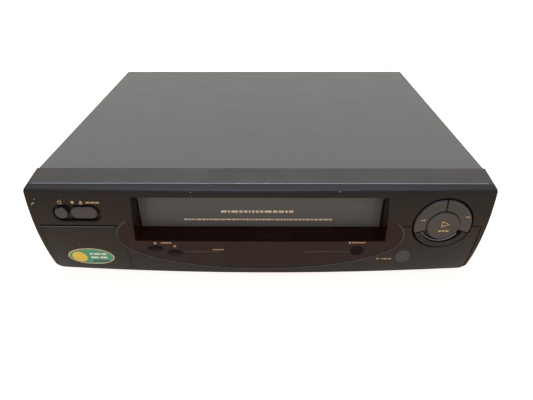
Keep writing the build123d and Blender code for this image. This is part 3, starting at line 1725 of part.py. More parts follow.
def carriage_slider(side):
    """Slider with upright slots for the holder's pins and guide pins that run in the bracket."""
    left, right = across(side, slider_in, slider_out)
    pin_left, pin_right = across(side, slider_out - 0.5, bracket_out + 1.0)
    with BuildPart() as slider:
        add(block(left, right, slider_front, slider_rear, slider_low, slider_high))
        chamfer(edges().filter_by(Axis.X), 2.0)
        for y in holder_pin_y:
            add(
                side_slot(
                    side,
                    slider_in - 1,
                    slider_out + 1,
                    y,
                    y,
                    holder_pin_z - holder_drop,
                    holder_pin_z,
                    carriage_pin + slot_play,
                ),
                mode=Mode.SUBTRACT,
            )
        for y in guide_pin_y:
            add(cross_pin(pin_left, pin_right, y, guide_pin_z, carriage_pin))
        if side > 0:
            extrude(rack_outline(), amount=slider_out - slider_in)
            add(cross_pin(-slider_in + 0.05, slider_in + 0.2, rod_y, rod_z, carriage_pin))
    return slider


save(carriage_slider(-1), "left_carriage_slider")
save(carriage_slider(1), "right_carriage_slider")

with BuildPart() as carriage_gear:
    with BuildSketch(Plane.YZ.offset(98.3)):
        with Locations((behind(gear_y), gear_z)):
            add(gear_outline(gear_teeth))
    extrude(amount=2.4)
    add(cross_pin(100.0, 102.6, gear_y, gear_z, 4.0))
    add(cross_pin(90.0, 110.0, gear_y, gear_z, carriage_pin + running), mode=Mode.SUBTRACT)
save(carriage_gear, "carriage_gear")

# ---------------------------------------------------------------- cassette holder
holder_half = cassette_width / 2 + 1.7
holder_outer = holder_half + holder_sheet
holder_rear = holder_front + holder_depth
holder_low = holder_floor
holder_top = holder_floor + holder_sheet + cassette_height + 0.6 + holder_sheet
with BuildPart() as cassette_holder:
    add(
        [
            block(
                -holder_outer,
                holder_outer,
                holder_front,
                holder_rear,
                holder_top - holder_sheet,
                holder_top,
            ),
            block(-holder_outer, -holder_half, holder_front, holder_rear, holder_low, holder_top),
            block(holder_half, holder_outer, holder_front, holder_rear, holder_low, holder_top),
            block(-holder_outer, -72, holder_front, 100, holder_low, holder_low + holder_sheet),
            block(72, holder_outer, holder_front, 100, holder_low, holder_low + holder_sheet),
            block(-holder_outer, -80, holder_rear - 1, holder_rear, holder_low, 60),
            block(80, holder_outer, holder_rear - 1, holder_rear, holder_low, 60),
        ]
    )
    with BuildSketch(Plane.XY.offset(holder_top)):
        with Locations((-52, behind(88)), (52, behind(88))):
            RectangleRounded(56, 48, 6)
        with Locations((0, behind(88))):
            RectangleRounded(22, 66, 6)
    extrude(amount=-holder_sheet, mode=Mode.SUBTRACT)
    for side in (-1, 1):
        pin_left, pin_right = across(side, holder_half + 0.5, slider_out + 1.0)
        for y in holder_pin_y:
            add(cross_pin(pin_left, pin_right, y, holder_pin_z, carriage_pin))
save(cassette_holder, "cassette_holder")
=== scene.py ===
"""Looks of a front-loading video cassette recorder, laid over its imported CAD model."""

import json
import logging
import math
from dataclasses import dataclass, field
from enum import Enum

import bmesh
import bpy
from mathutils import Matrix, Vector
from mathutils.bvhtree import BVHTree

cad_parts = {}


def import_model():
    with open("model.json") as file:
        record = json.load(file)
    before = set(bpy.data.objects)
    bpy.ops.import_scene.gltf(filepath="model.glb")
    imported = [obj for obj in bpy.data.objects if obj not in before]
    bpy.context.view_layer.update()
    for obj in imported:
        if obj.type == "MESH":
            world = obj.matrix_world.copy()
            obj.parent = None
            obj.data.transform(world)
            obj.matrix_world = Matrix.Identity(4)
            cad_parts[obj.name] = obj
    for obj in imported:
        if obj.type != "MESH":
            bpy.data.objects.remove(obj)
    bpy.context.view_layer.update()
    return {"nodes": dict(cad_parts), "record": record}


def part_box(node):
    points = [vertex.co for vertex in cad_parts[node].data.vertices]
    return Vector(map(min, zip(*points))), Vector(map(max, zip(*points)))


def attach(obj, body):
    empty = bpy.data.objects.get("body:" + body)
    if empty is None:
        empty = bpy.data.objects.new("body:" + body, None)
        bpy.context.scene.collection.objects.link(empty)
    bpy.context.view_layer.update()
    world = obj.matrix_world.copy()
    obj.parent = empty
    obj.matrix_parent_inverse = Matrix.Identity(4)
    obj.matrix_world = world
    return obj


MM = 0.001
EDGE_Y = -145.5  # upper front edge of the moulding, mm
LOG = logging.getLogger("recorder")

ARROW_CORNERS = (0, 120, 240)  # degrees
NOISE_SPAN = (0.3, 0.7)  # where nearly all values of the noise lie
PATCHES = 22.0  # slow tone changes in a metre
# Colour of the pale film on upward faces: dust, and painted light from above.
DUST_AND_TOPLIGHT_COLOUR, DUST_COLOUR = "#b3aea6", "#b9b6ae"
DUST_AND_TOPLIGHT_TILT = (0.7, 0.98)  # upward part of the normal where the film starts and is full
PAINTED_SHADE_FADE = 0.8  # mm over which the film ends at the painted shade band along the front edge
SPECK_SPACING, HAIR_SPACING, TRACK_SPACING = 9.0, 16.0, 6.0  # mm
PLATE_SUNK = 0.05  # mm that the back of a print reaches into its surface
RAY_START = 0.3  # m, well outside the object

Points = list[tuple[float, float]]
Tree, Node, Socket = bpy.types.NodeTree, bpy.types.Node, bpy.types.NodeSocket
Piece, Mesh = bpy.types.Object, bpy.types.Mesh


def behind(distance: float) -> float:
    """Depth in mm of a point that lies the given distance behind the upper front edge."""
    return EDGE_Y + distance


def linear(colour: str) -> tuple[float, float, float, float]:
    """Turns an sRGB hex colour into linear red, green and blue with full opacity."""
    digits = colour.lstrip("#")
    values = [int(digits[place : place + 2], 16) / 255 for place in (0, 2, 4)]
    red, green, blue = (v / 12.92 if v <= 0.04045 else ((v + 0.055) / 1.055) ** 2.4 for v in values)
    return (red, green, blue, 1.0)


def add_node(
    tree: Tree, kind: str, values: dict | None = None, links: dict | None = None, **settings: object
) -> Node:
    """Adds a node to a tree.

    Args:
        tree: Shader or geometry tree.
        kind: Type name of the node.
        values: Input name or place to a constant.
        links: Input name or place to what feeds it: a socket, or a node by its first output.
        **settings: Attributes of the node itself.

    Returns:
        The new node.
    """
    node = tree.nodes.new(kind)
    for name, value in settings.items():
        setattr(node, name, value)
    for key, value in (values or {}).items():
        node.inputs[key].default_value = value
    for key, feed in (links or {}).items():
        tree.links.new(feed.outputs[0] if isinstance(feed, Node) else feed, node.inputs[key])
    return node


def empty_tree(owner: bpy.types.ID) -> Tree:
    """Emptied shader tree of a material or a world."""
    owner.use_nodes = True
    owner.node_tree.nodes.clear()
    return owner.node_tree


def linked(name: str, data: bpy.types.ID) -> Piece:
    """New object of the given data in the scene."""
    made = bpy.data.objects.new(name, data)
    bpy.context.scene.collection.objects.link(made)
    return made


# ---------------------------------------------------------------- finishes


class Relief(Enum):
    """How the fine relief of a surface was made."""

    ORANGE_PEEL = "sprayed and baked"
    SPARK_ERODED = "moulded in an etched tool"
    POLISHED = "moulded in a polished tool"
    ROLLED = "cold-rolled and plated"
    TURNED = "turned or ground"
    CAST = "moulded rubber"


class Shine(Enum):
    """Which part of a lamp's light is used: the diffuse part, the gloss, or both."""

    WHOLE = (True, True)
    SOFT = (True, False)
    GLINT = (False, True)


@dataclass(frozen=True)
class Finish:
    """A material named for what it is made of and how its surface was made.

    grain_mm is the spacing of the relief; a real etched grain of 0.1 to 0.3 mm is too fine for
    the picture, so it is drawn a few times coarser.
    """

    name: str
    colour: str
    roughness: float
    relief: Relief
    grain_mm: float = 0.8
    bump_mm: float = 0.02
    mottle: float = 0.06
    metallic: float = 0.0
    ior: float = 1.5
    coat: float = 0.0
    specular: float = 0.5
    # Share of the pale film on upward faces, which is dust and also painted light from above.
    dust: float = 0.0
    film: float = 0.0
    painted_shade_front_mm: float = -1000.0  # painted shade: no film lies in front of this depth, so a darker band runs along the front edge

    def stretch(self) -> tuple[float, float, float]:
        """How the relief is stretched along X, Y and Z."""
        if self.relief is Relief.ROLLED:
            return (0.12, 1.0, 1.0)
        if self.relief is Relief.TURNED:
            return (1.0, 1.0, 6.0)
        return (1.0, 1.0, 1.0)

    def material(self) -> bpy.types.Material:
        """Builds the material, once for each finish.

        Returns:
            The material with its colour variation, roughness variation and relief.
        """
        if self.name in bpy.data.materials:
            return bpy.data.materials[self.name]
        made = bpy.data.materials.new(self.name)
        tree = empty_tree(made)
        place = add_node(tree, "ShaderNodeTexCoord")
        shader = self.shader(tree, place.outputs["Object"])
        add_node(tree, "ShaderNodeOutputMaterial", links={"Surface": shader})
        return made

    def shader(self, tree: Tree, place: Socket) -> Node:
        """Adds the shader and what feeds it.

        Args:
            tree: The material's tree.
            place: Object coordinates.

        Returns:
            The shader node.
        """
        stretched = add_node(
            tree, "ShaderNodeMapping", {"Scale": self.stretch()}, {"Vector": place}
        )
        vector = stretched.outputs["Vector"]
        fine = add_node(
            tree, "ShaderNodeTexNoise",
            {"Scale": 1 / (self.grain_mm * MM), "Detail": 3.0, "Roughness": 0.55},
            {"Vector": vector},
        )
        broad = add_node(
            tree, "ShaderNodeTexNoise", {"Scale": PATCHES, "Detail": 4.0, "Roughness": 0.6},
            {"Vector": vector},
        )
        blend = add_node(
            tree, "ShaderNodeMix", {"Factor": 0.65}, {"A": fine, "B": broad}, data_type="FLOAT"
        )
        base = linear(self.colour)
        tone = add_node(tree, "ShaderNodeValToRGB", links={"Fac": blend.outputs["Result"]})
        low, high = tone.color_ramp.elements
        low.position, high.position = NOISE_SPAN
        low.color = (*[c * (1 - self.mottle) for c in base[:3]], 1)
        high.color = (*[min(1.0, c * (1 + self.mottle)) for c in base[:3]], 1)
        colour = tone.outputs["Color"]
        # Painted light from above: upward faces are made lighter by the film, which also stands for
        # dust.
        if self.film > 0:
            colour = self.dust_and_toplight_film(tree, place, broad.outputs["Fac"], colour)
        if self.dust > 0:
            colour = self.dusted(tree, place, colour)
        gloss = add_node(
            tree, "ShaderNodeMapRange",
            {
                "From Min": NOISE_SPAN[0], "From Max": NOISE_SPAN[1],
                "To Min": max(0.02, self.roughness - 0.05),
                "To Max": min(1.0, self.roughness + 0.06),
            },
            {"Value": broad},
        )
        bump = add_node(
            tree, "ShaderNodeBump", {"Strength": 1.0, "Distance": self.bump_mm * MM},
            {"Height": fine},
        )
        return add_node(
            tree, "ShaderNodeBsdfPrincipled",
            {
                "Metallic": self.metallic, "IOR": self.ior, "Coat Weight": self.coat,
                "Coat Roughness": 0.12, "Specular IOR Level": self.specular,
            },
            {"Base Color": colour, "Roughness": gloss, "Normal": bump},
        )

    def dust_and_toplight_film(self, tree: Tree, place: Socket, broad: Socket, colour: Socket) -> Socket:
        """Lays a pale film on upward faces, which is dust and also painted light from above; it
        stops at a set depth, so it paints a darker shade band along the front edge.

        Args:
            tree: The material's tree.
            place: Object coordinates.
            broad: Slow noise that makes the film uneven.
            colour: The clean colour.

        Returns:
            The colour with its film.
        """
        surface = add_node(tree, "ShaderNodeNewGeometry")
        parts = add_node(tree, "ShaderNodeSeparateXYZ", links={"Vector": surface.outputs["Normal"]})
        depth = add_node(tree, "ShaderNodeSeparateXYZ", links={"Vector": place})
        front = self.painted_shade_front_mm * MM
        shares = []
        for source, (start, end), (least, most) in (
            (parts.outputs["Z"], DUST_AND_TOPLIGHT_TILT, (0.0, self.film)),
            (depth.outputs["Y"], (front, (self.painted_shade_front_mm + PAINTED_SHADE_FADE) * MM), (0.0, 1.0)),
            (broad, (0.35, 0.65), (0.85, 1.1)),
        ):
            share = add_node(
                tree, "ShaderNodeMapRange",
                {"From Min": start, "From Max": end, "To Min": least, "To Max": most},
                {"Value": source},
            )
            shares.append(share)
        settled_and_toplit = add_node(
            tree, "ShaderNodeMath", links={0: shares[0], 1: shares[1]}, operation="MULTIPLY"
        )
        share = add_node(
            tree, "ShaderNodeMath", links={0: settled_and_toplit, 1: shares[2]}, operation="MULTIPLY"
        )
        mixed = add_node(
            tree, "ShaderNodeMix", {"B": linear(DUST_AND_TOPLIGHT_COLOUR)},
            {"Factor": share, "A": colour}, data_type="RGBA",
        )
        return mixed.outputs["Result"]

    def dusted(self, tree: Tree, place: Socket, colour: Socket) -> Socket:
        """Lays pale dust specks and short hairline scratches on a colour.

        Args:
            tree: The material's tree.
            place: Object coordinates.
            colour: The clean colour.

        Returns:
            The dusted colour.
        """
        turned = add_node(
            tree, "ShaderNodeMapping", {"Rotation": (0.0, 0.0, 0.5), "Scale": (1.0, 0.05, 1.0)},
            {"Vector": place},
        )
        marks = []
        for spacing, vector, (edge, core), strength in (
            (SPECK_SPACING, place, (0.055, 0.03), self.dust),
            (HAIR_SPACING, turned.outputs["Vector"], (0.02, 0.008), self.dust * 0.5),
        ):
            cells = add_node(
                tree, "ShaderNodeTexVoronoi", {"Scale": 1 / (spacing * MM), "Randomness": 1.0},
                {"Vector": vector},
            )
            mark = add_node(
                tree, "ShaderNodeMapRange",
                {"From Min": edge, "From Max": core, "To Min": 0.0, "To Max": strength},
                {"Value": cells},
            )
            marks.append(mark)
        both = add_node(
            tree, "ShaderNodeMath", links={0: marks[0], 1: marks[1]}, operation="MAXIMUM"
        )
        mixed = add_node(
            tree, "ShaderNodeMix", {"B": linear(DUST_COLOUR)},
            {"Factor": both, "A": colour}, data_type="RGBA",
        )
        return mixed.outputs["Result"]


@dataclass(frozen=True)
class SmokedAcrylic(Finish):
    """Polished window of dark see-through plastic: glossy, with what is behind just showing."""

    opacity: float = 0.8

    def shader(self, tree: Tree, place: Socket) -> Node:
        """Adds the finish's shader and lets a little light through it."""
        shader = Finish.shader(self, tree, place)
        shader.inputs["Alpha"].default_value = self.opacity
        return shader


@dataclass(frozen=True)
class Laminate(Finish):
    """Circuit board of paper laminate under lacquer, with copper tracks."""

    track: str = "#6f7a3c"

    def shader(self, tree: Tree, place: Socket) -> Node:
        """Adds the finish's shader, with tracks 1 mm wide about 6 mm apart in its colour."""
        shader = Finish.shader(self, tree, place)
        cells = add_node(
            tree, "ShaderNodeTexVoronoi", {"Scale": 1 / (TRACK_SPACING * MM), "Randomness": 0.8},
            {"Vector": place}, distance="CHEBYCHEV",
        )
        band = add_node(
            tree, "ShaderNodeMapRange", {"From Min": 0.36, "From Max": 0.4}, {"Value": cells}
        )
        clean = shader.inputs["Base Color"].links[0].from_socket
        mixed = add_node(
            tree, "ShaderNodeMix", {"B": linear(self.track)},
            {"Factor": band, "A": clean}, data_type="RGBA",
        )
        tree.links.new(mixed.outputs["Result"], shader.inputs["Base Color"])
        return shader


# Warm grey stoving enamel on sheet steel: even, satin, with a faint orange peel and dust; a thin
# pale film on its upward faces is partly dust and partly painted light from above.
ENAMEL = Finish(
    "stoving_enamel_sprayed", "#504e4a", 0.48, Relief.ORANGE_PEEL, 1.4, 0.03, 0.04, dust=0.3,
    film=0.03,
)
# High-impact polystyrene from an etched tool: satin brown-black, greyer where dust lies on it and
# on upward faces, where its pale film is partly dust and partly painted light from above; the film
# stops 2.2 mm behind the upper front edge, which paints a darker shade band there.
STYRENE = Finish(
    "polystyrene_etched", "#1c1612", 0.32, Relief.SPARK_ERODED, 0.9, 0.025, 0.07, specular=0.18,
    dust=0.25, film=0.12, painted_shade_front_mm=behind(2.2),
)
# Grey-blue plastic of the thin beads that are painted highlights: light lines along edges of the
# front.
EDGE_HIGHLIGHT_STYRENE = Finish(
    "polystyrene_rubbed_edge", "#3f4650", 0.26, Relief.POLISHED, 2.0, 0.004, 0.05, specular=0.7
)
# Pale cold plastic of the thin beads that are painted highlights: the light line along an edge.
GLINT_PAINTED_STYRENE = Finish(
    "polystyrene_painted_glint", "#7d8898", 0.22, Relief.POLISHED, 2.0, 0.004, 0.05, specular=0.8
)
# Scuffs where the plastic is bruised white.
BRUISED_STYRENE = Finish(
    "polystyrene_bruised", "#b9b2a6", 0.7, Relief.CAST, 0.4, 0.01, 0.15, specular=0.3
)
# The door is a greyer batch of the same plastic.
DOOR_STYRENE = Finish(
    "polystyrene_grey_etched", "#43494e", 0.45, Relief.SPARK_ERODED, 0.8, 0.03, 0.05, specular=0.4,
    dust=0.25,
)
# Keys of ABS, a little glossier where fingers polish them.
KEY_ABS = Finish(
    "abs_keys_satin", "#2f2d2c", 0.25, Relief.SPARK_ERODED, 0.7, 0.015, 0.05, specular=0.4
)
# Three small keys in the window are polished and nearly black.
DARK_KEY_ABS = Finish(
    "abs_keys_polished", "#060608", 0.16, Relief.POLISHED, 2.0, 0.004, 0.05, specular=0.08
)
# Smoked acrylic: nearly black brown, mirror smooth.
SMOKED = SmokedAcrylic(
    "acrylic_smoked_polished", "#2b1a13", 0.12, Relief.POLISHED, 3.0, 0.004, 0.06, specular=0.16
)
# Black mouldings of the switches and the socket blocks.
BLACK_STYRENE = Finish("polystyrene_black", "#161616", 0.5, Relief.SPARK_ERODED, 0.8, 0.03)
# Zinc-plated sheet: cool grey with the streaks of rolling.
ZINC = Finish(
    "steel_rolled_zinc_plated", "#a9aaa6", 0.38, Relief.ROLLED, 0.6, 0.02, 0.12, metallic=1.0
)
# Bright steel of shafts, guides, spring and motor.
GROUND_STEEL = Finish(
    "steel_ground", "#b9b9b7", 0.22, Relief.TURNED, 0.4, 0.008, 0.05, metallic=1.0
)
# Blackened screws.
BLACK_STEEL = Finish("steel_blackened", "#2b2a29", 0.4, Relief.ROLLED, 0.6, 0.02, metallic=0.8)
# Turned aluminium of the drum and the heat sink.
ALUMINIUM = Finish(
    "aluminium_turned", "#c4c6c8", 0.26, Relief.TURNED, 0.3, 0.008, 0.04, metallic=1.0
)
# Nickel plate on the sockets and the heads.
NICKEL = Finish("nickel_plate", "#c0b9a8", 0.18, Relief.TURNED, 0.4, 0.004, 0.04, metallic=1.0)
# Sintered bronze of the bearing.
BRONZE = Finish("bronze_sintered", "#9a7a45", 0.42, Relief.CAST, 0.4, 0.02, metallic=1.0)
# Natural acetal of the deck's gears and reels: waxy white.
ACETAL = Finish("acetal_natural", "#d9d5c8", 0.44, Relief.SPARK_ERODED, 0.8, 0.015, 0.04)
# Rubber of feet, belt and rollers.
RUBBER = Finish("rubber_moulded", "#1b1b1b", 0.72, Relief.CAST, 1.0, 0.05, 0.1)
# Paper laminate board.
BOARD = Laminate("laminate_lacquered", "#8a6a35", 0.35, Relief.POLISHED, 1.2, 0.01)
# Glass of the display tube over its black grid.
TUBE_GLASS = Finish("glass_tube_blackened", "#0c1110", 0.08, Relief.POLISHED, 4.0, 0.002, coat=0.6)
# Varnished laminations of the transformer.
VARNISHED = Finish("steel_laminated_varnished", "#3a322b", 0.45, Relief.ROLLED, 0.5, 0.08, 0.2)
# Sleeve of the capacitors.
SLEEVE = Finish("pvc_sleeve_shrunk", "#1c2a4d", 0.32, Relief.POLISHED, 2.0, 0.01)
# Grey ribbon cable.
RIBBON = Finish("pvc_ribbon", "#85858a", 0.5, Relief.POLISHED, 1.2, 0.02)
# Pale gold ink, screen printed: thin, matt, slightly uneven.
GOLD_INK = Finish("ink_pale_gold_printed", "#c8aa78", 0.5, Relief.CAST, 0.5, 0.005, 0.12)
CREAM_INK = Finish("ink_cream_printed", "#cfc7b2", 0.55, Relief.CAST, 0.5, 0.005, 0.08)


def vinyl(tone: str, colour: str, roughness: float = 0.35) -> Finish:
    """Printed vinyl film: smooth, half glossy."""
    return Finish(f"vinyl_film_{tone}", colour, roughness, Relief.POLISHED, 1.5, 0.005, 0.05)


GREEN_FILM, YELLOW_FILM = vinyl("green", "#2a9a86"), vinyl("yellow", "#ecd23f")
GOLD_FILM = vinyl("gold_rim", "#dcc38c", 0.3)
DARK_FILM, WHITE_FILM = vinyl("dark", "#26302c"), vinyl("white", "#e6ece8")
# Unlit phosphor of the display.
PHOSPHOR = Finish("phosphor_unlit", "#f4ece0", 0.6, Relief.CAST, 0.5, 0.005, 0.05)
# Coloured collars that mark the sockets.
WHITE_ABS = Finish("abs_white_collar", "#d8d6d0", 0.4, Relief.POLISHED, 1.0, 0.01)
RED_ABS = Finish("abs_red_collar", "#a3211c", 0.4, Relief.POLISHED, 1.0, 0.01)
YELLOW_ABS = Finish("abs_yellow_collar", "#d8a91c", 0.4, Relief.POLISHED, 1.0, 0.01)

CAD_FINISHES: dict[Finish, tuple[str, ...]] = {
    ENAMEL: ("top_cover",), STYRENE: ("front_bezel", "av_flap", "ring_trim"),
    DOOR_STYRENE: ("cassette_door",),
    KEY_ABS: (
        "power_button", "stop_eject_button", "play_button", "rewind_button", "fast_forward_button",
        "pause_button",
    ),
    DARK_KEY_ABS: ("record_button", "program_down_button", "program_up_button"),
    SMOKED: ("display_window",),
    BLACK_STYRENE: ("tact_switches", "front_av_housing", "mains_inlet", "rear_av_jacks"),
    ZINC: (
        "bottom_chassis", "rear_panel", "deck_plate", "left_carriage_bracket",
        "right_carriage_bracket", "left_carriage_slider", "right_carriage_slider",
        "cassette_holder", "tension_arm", "pinch_roller_arm", "idler_arm", "tuner_module",
    ),
    BLACK_STEEL: ("cover_screws",),
    GROUND_STEEL: (
        "capstan", "worm_shaft", "loading_motor", "door_spring", "supply_guide", "take_up_guide"
    ),
    ALUMINIUM: ("lower_drum", "upper_drum", "heat_sink"),
    NICKEL: ("front_av_jacks", "erase_head", "audio_control_head"), BRONZE: ("capstan_bearing",),
    ACETAL: (
        "clutch_wheel", "supply_reel_table", "take_up_reel_table", "cam_gear", "carriage_gear"
    ),
    RUBBER: ("feet", "drive_belt", "pinch_roller", "idler_wheel"),
    BOARD: ("front_board", "main_board"), TUBE_GLASS: ("display_tube",),
    VARNISHED: ("power_transformer",), SLEEVE: ("smoothing_capacitors",), RIBBON: ("ribbon_cable",),
}


def dress_cad(nodes: dict[str, Piece]) -> None:
    """Gives every CAD node its finish."""
    for finish, names in CAD_FINISHES.items():
        for name in names:
            mesh = nodes[name].data
            mesh.materials.clear()
            mesh.materials.append(finish.material())
            LOG.info("%s: %s", name, finish.name)


# ---------------------------------------------------------------- mesh helpers


def finished(name: str, mesh: Mesh, finish: Finish, body: str) -> None:
    """Makes a mesh into a piece that rides on a body.

    Args:
        name: Name of the piece.
        mesh: Mesh in metres, in the frame's place.
        finish: What it is made of.
        body: CAD body it rides on.
    """
    mesh.name = name
    mesh.materials.clear()
    mesh.materials.append(finish.material())
    piece = linked(name, mesh)
    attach(piece, body)
    LOG.info("%s rides on %s, %d faces", name, body, len(mesh.polygons))


@dataclass
class Surface:
    """Front surface of a CAD node, on which prints and films are laid."""

    node: Piece
    tree: BVHTree = field(init=False)

    def __post_init__(self) -> None:
        """Builds the search tree of the node's faces."""
        mesh = self.node.data
        corners = [vertex.co.copy() for vertex in mesh.vertices]
        self.tree = BVHTree.FromPolygons(corners, [tuple(p.vertices) for p in mesh.polygons])

    def depth(self, x: float, z: float) -> float:
        """Depth in mm of the first surface met from the front at x and z in mm."""
        start = Vector((x * MM, -RAY_START, z * MM))
        hit, *_ = self.tree.ray_cast(start, Vector((0, 1, 0)))
        if hit is None:
            hit, *_ = self.tree.find_nearest(Vector((x * MM, EDGE_Y * MM, z * MM)))
        return hit.y / MM

    def height(self, x: float, y: float) -> float:
        """Height in mm of the first surface met from above at x and y in mm."""
        hit, *_ = self.tree.ray_cast(Vector((x * MM, y * MM, RAY_START)), Vector((0, 0, -1)))
        return hit.z / MM


def laid_outlines(surface: Surface, outlines: list[Points], lift: float) -> Mesh:
    """Thin closed plates that follow a surface, one for each outline.

    Args:
        surface: What they lie on.
        outlines: Closed outlines as (x, z) points in mm, anticlockwise seen from the front.
        lift: How far they stand out of the surface, mm; their backs reach into it.

    Returns:
        The mesh of all the plates.
    """
    made = bmesh.new()
    for outline in outlines:
        fronts, backs = [], []
        for x, z in outline:
            y = surface.depth(x, z)
            fronts.append(made.verts.new((x * MM, (y - lift) * MM, z * MM)))
            backs.append(made.verts.new((x * MM, (y + PLATE_SUNK) * MM, z * MM)))
        count = len(outline)
        made.faces.new(fronts)
        made.faces.new(backs[::-1])
        for place in range(count):
            follow = (place + 1) % count
            made.faces.new((fronts[follow], fronts[place], backs[place], backs[follow]))
    bmesh.ops.recalc_face_normals(made, faces=made.faces)
    bmesh.ops.triangulate(made, faces=[face for face in made.faces if len(face.verts) > 4])
    mesh = bpy.data.meshes.new("plates")
    made.to_mesh(mesh)
    made.free()
    return mesh


def lay(
    name: str,
    node: Piece,
    outlines: list[Points],
    finish: Finish,
    body: str,
    lift: float = 0.06,
) -> None:
    """Lays outlines on the front of a CAD node as one piece.

    Args:
        name: Name of the piece.
        node: CAD node that carries it.
        outlines: What is laid.
        finish: What it is made of.
        body: Body it rides on.
        lift: How far it stands out of the surface, mm.
    """
    finished(name, laid_outlines(Surface(node), outlines, lift), finish, body)


def on_circle(x: float, z: float, radius: float, turn: float) -> tuple[float, float]:
    """Point on a circle about x and z; turn in radians."""
    return (x + radius * math.cos(turn), z + radius * math.sin(turn))


def disc(x: float, z: float, radius: float) -> Points:
    """Outline of a disc about x and z in mm."""
    steps = 48 if radius > 4 else 20
    return [on_circle(x, z, radius, 2 * math.pi * step / steps) for step in range(steps)]


def bar(left: float, right: float, z: float, height: float) -> Points:
    """Outline of a level bar centred at height z."""
    half = height / 2
    return [(left, z - half), (right, z - half), (right, z + half), (left, z + half)]


def spread(start: float, end: float, steps: int) -> list[float]:
    """Values evenly spread from start to end, both included."""
    return [start + (end - start) * step / steps for step in range(steps + 1)]


def arrow(x: float, z: float, size: float, turn: float) -> Points:
    """Outline of a solid triangle that points along turn, in degrees from +X."""
    return [on_circle(x, z, size, math.radians(turn + corner)) for corner in ARROW_CORNERS]


def ring_pieces(
    x: float, z: float, inner: float, outer: float, start: float, end: float
) -> list[Points]:
    """Outlines that make an arc-shaped stroke between two angles in degrees."""
    turns = [math.radians(turn) for turn in spread(start, end, max(2, int((end - start) / 15)))]
    pieces = []
    for first, last in zip(turns, turns[1:]):
        sides = ((inner, first), (outer, first), (outer, last), (inner, last))
        pieces.append([on_circle(x, z, radius, turn) for radius, turn in sides])
    return pieces


def dashes(left: float, right: float, z: float, height: float, seed: int) -> list[Points]:
    """Row of short dashes of uneven length, the plain stand-in for a line of print.

    Args:
        left: Start, mm.
        right: End, mm.
        z: Height of the row, mm.
        height: Height of a dash, mm.
        seed: Chooses the lengths.

    Returns:
        The outlines of the dashes.
    """
    pieces = []
    at, step = left, seed
    while at < right - height:
        step = (step * 37 + 11) % 101
        length = min(height * (0.8 + 2.2 * step / 100), right - at)
        pieces.append(bar(at, at + length, z, height))
        at += length + height * 0.55
    return pieces


# ---------------------------------------------------------------- grown pieces


class Grower:
    """Geometry Nodes tree with named inputs, turned into plain meshes."""

    def __init__(self, name: str, sizes: dict[str, float]) -> None:
        """Starts the tree.

        Args:
            name: Name of the tree.
            sizes: Named sizes in mm with their usual values.
        """
        self.tree = bpy.data.node_groups.new(name, "GeometryNodeTree")
        face = self.tree.interface
        face.new_socket("Geometry", in_out="INPUT", socket_type="NodeSocketGeometry")
        for size, usual in sizes.items():
            made = face.new_socket(size, in_out="INPUT", socket_type="NodeSocketFloat")
            made.default_value = usual * MM
        face.new_socket("Turn", in_out="INPUT", socket_type="NodeSocketRotation")
        face.new_socket("Material", in_out="INPUT", socket_type="NodeSocketMaterial")
        face.new_socket("Geometry", in_out="OUTPUT", socket_type="NodeSocketGeometry")
        self.source = add_node(self.tree, "NodeGroupInput")

    def given(self, name: str) -> Socket:
        """Socket of a named input inside the tree."""
        return self.source.outputs[name]

    def sum_of(self, first: str, second: str, factor: float) -> Socket:
        """First input plus factor times the second."""
        node = add_node(
            self.tree, "ShaderNodeMath", {1: factor}, {0: self.given(second), 2: self.given(first)},
            operation="MULTIPLY_ADD",
        )
        return node.outputs[0]

    def cone(self, corners: int, height: str) -> Node:
        """Tapered disc of the tree's Radius and Taper, as high as the named input."""
        return add_node(
            self.tree, "GeometryNodeMeshCone", {"Vertices": corners},
            {
                "Radius Bottom": self.given("Radius"),
                "Radius Top": self.sum_of("Radius", "Taper", -1.0), "Depth": self.given(height),
            },
        )

    def close_on_points(self, copied: Socket) -> None:
        """Ends the tree with a turned copy on each point."""
        links = {"Points": self.given("Geometry"), "Rotation": self.given("Turn")}
        placed = add_node(
            self.tree, "GeometryNodeInstanceOnPoints", links=links | {"Instance": copied}
        )
        self.close(placed.outputs[0])

    def close(self, shape: Socket) -> None:
        """Ends the tree with plain geometry and its material."""
        plain = add_node(self.tree, "GeometryNodeRealizeInstances", links={"Geometry": shape})
        dressed = add_node(
            self.tree, "GeometryNodeSetMaterial",
            links={"Geometry": plain, "Material": self.given("Material")},
        )
        add_node(self.tree, "NodeGroupOutput", links={0: dressed})

    def grow(
        self,
        seeds: Mesh,
        finish: Finish,
        sizes: dict[str, float] | None = None,
        turn: tuple[float, float, float] = (0.0, 0.0, 0.0),
    ) -> Mesh:
        """Runs the tree on a mesh of points or edges.

        Args:
            seeds: Mesh that gives the places or the path.
            finish: Material that is set.
            sizes: Named sizes in mm that differ from the usual ones.
            turn: Euler turn of each copy, radians.

        Returns:
            The plain mesh.
        """
        holder = linked("seeds", seeds)
        modifier = holder.modifiers.new("grown", "NODES")
        modifier.node_group = self.tree
        values = {name: size * MM for name, size in (sizes or {}).items()}
        values |= {"Turn": turn, "Material": finish.material()}
        for item in self.tree.interface.items_tree:
            if item.in_out == "INPUT" and item.name in values:
                modifier[item.identifier] = values[item.name]
        seen = holder.evaluated_get(bpy.context.evaluated_depsgraph_get())
        mesh = bpy.data.meshes.new_from_object(seen)
        bpy.data.objects.remove(holder)
        return mesh


def bead_grower() -> Grower:
    """Tree that sweeps a round bead along a path of edges."""
    made = Grower("bead along a path", {"Radius": 0.3})
    path = add_node(made.tree, "GeometryNodeMeshToCurve", links={"Mesh": made.given("Geometry")})
    ring = add_node(
        made.tree, "GeometryNodeCurvePrimitiveCircle", {"Resolution": 10},
        {"Radius": made.given("Radius")},
    )
    swept = add_node(
        made.tree, "GeometryNodeCurveToMesh", {"Fill Caps": True},
        {"Curve": path.outputs[0], "Profile Curve": ring},
    )
    made.close(swept.outputs[0])
    return made


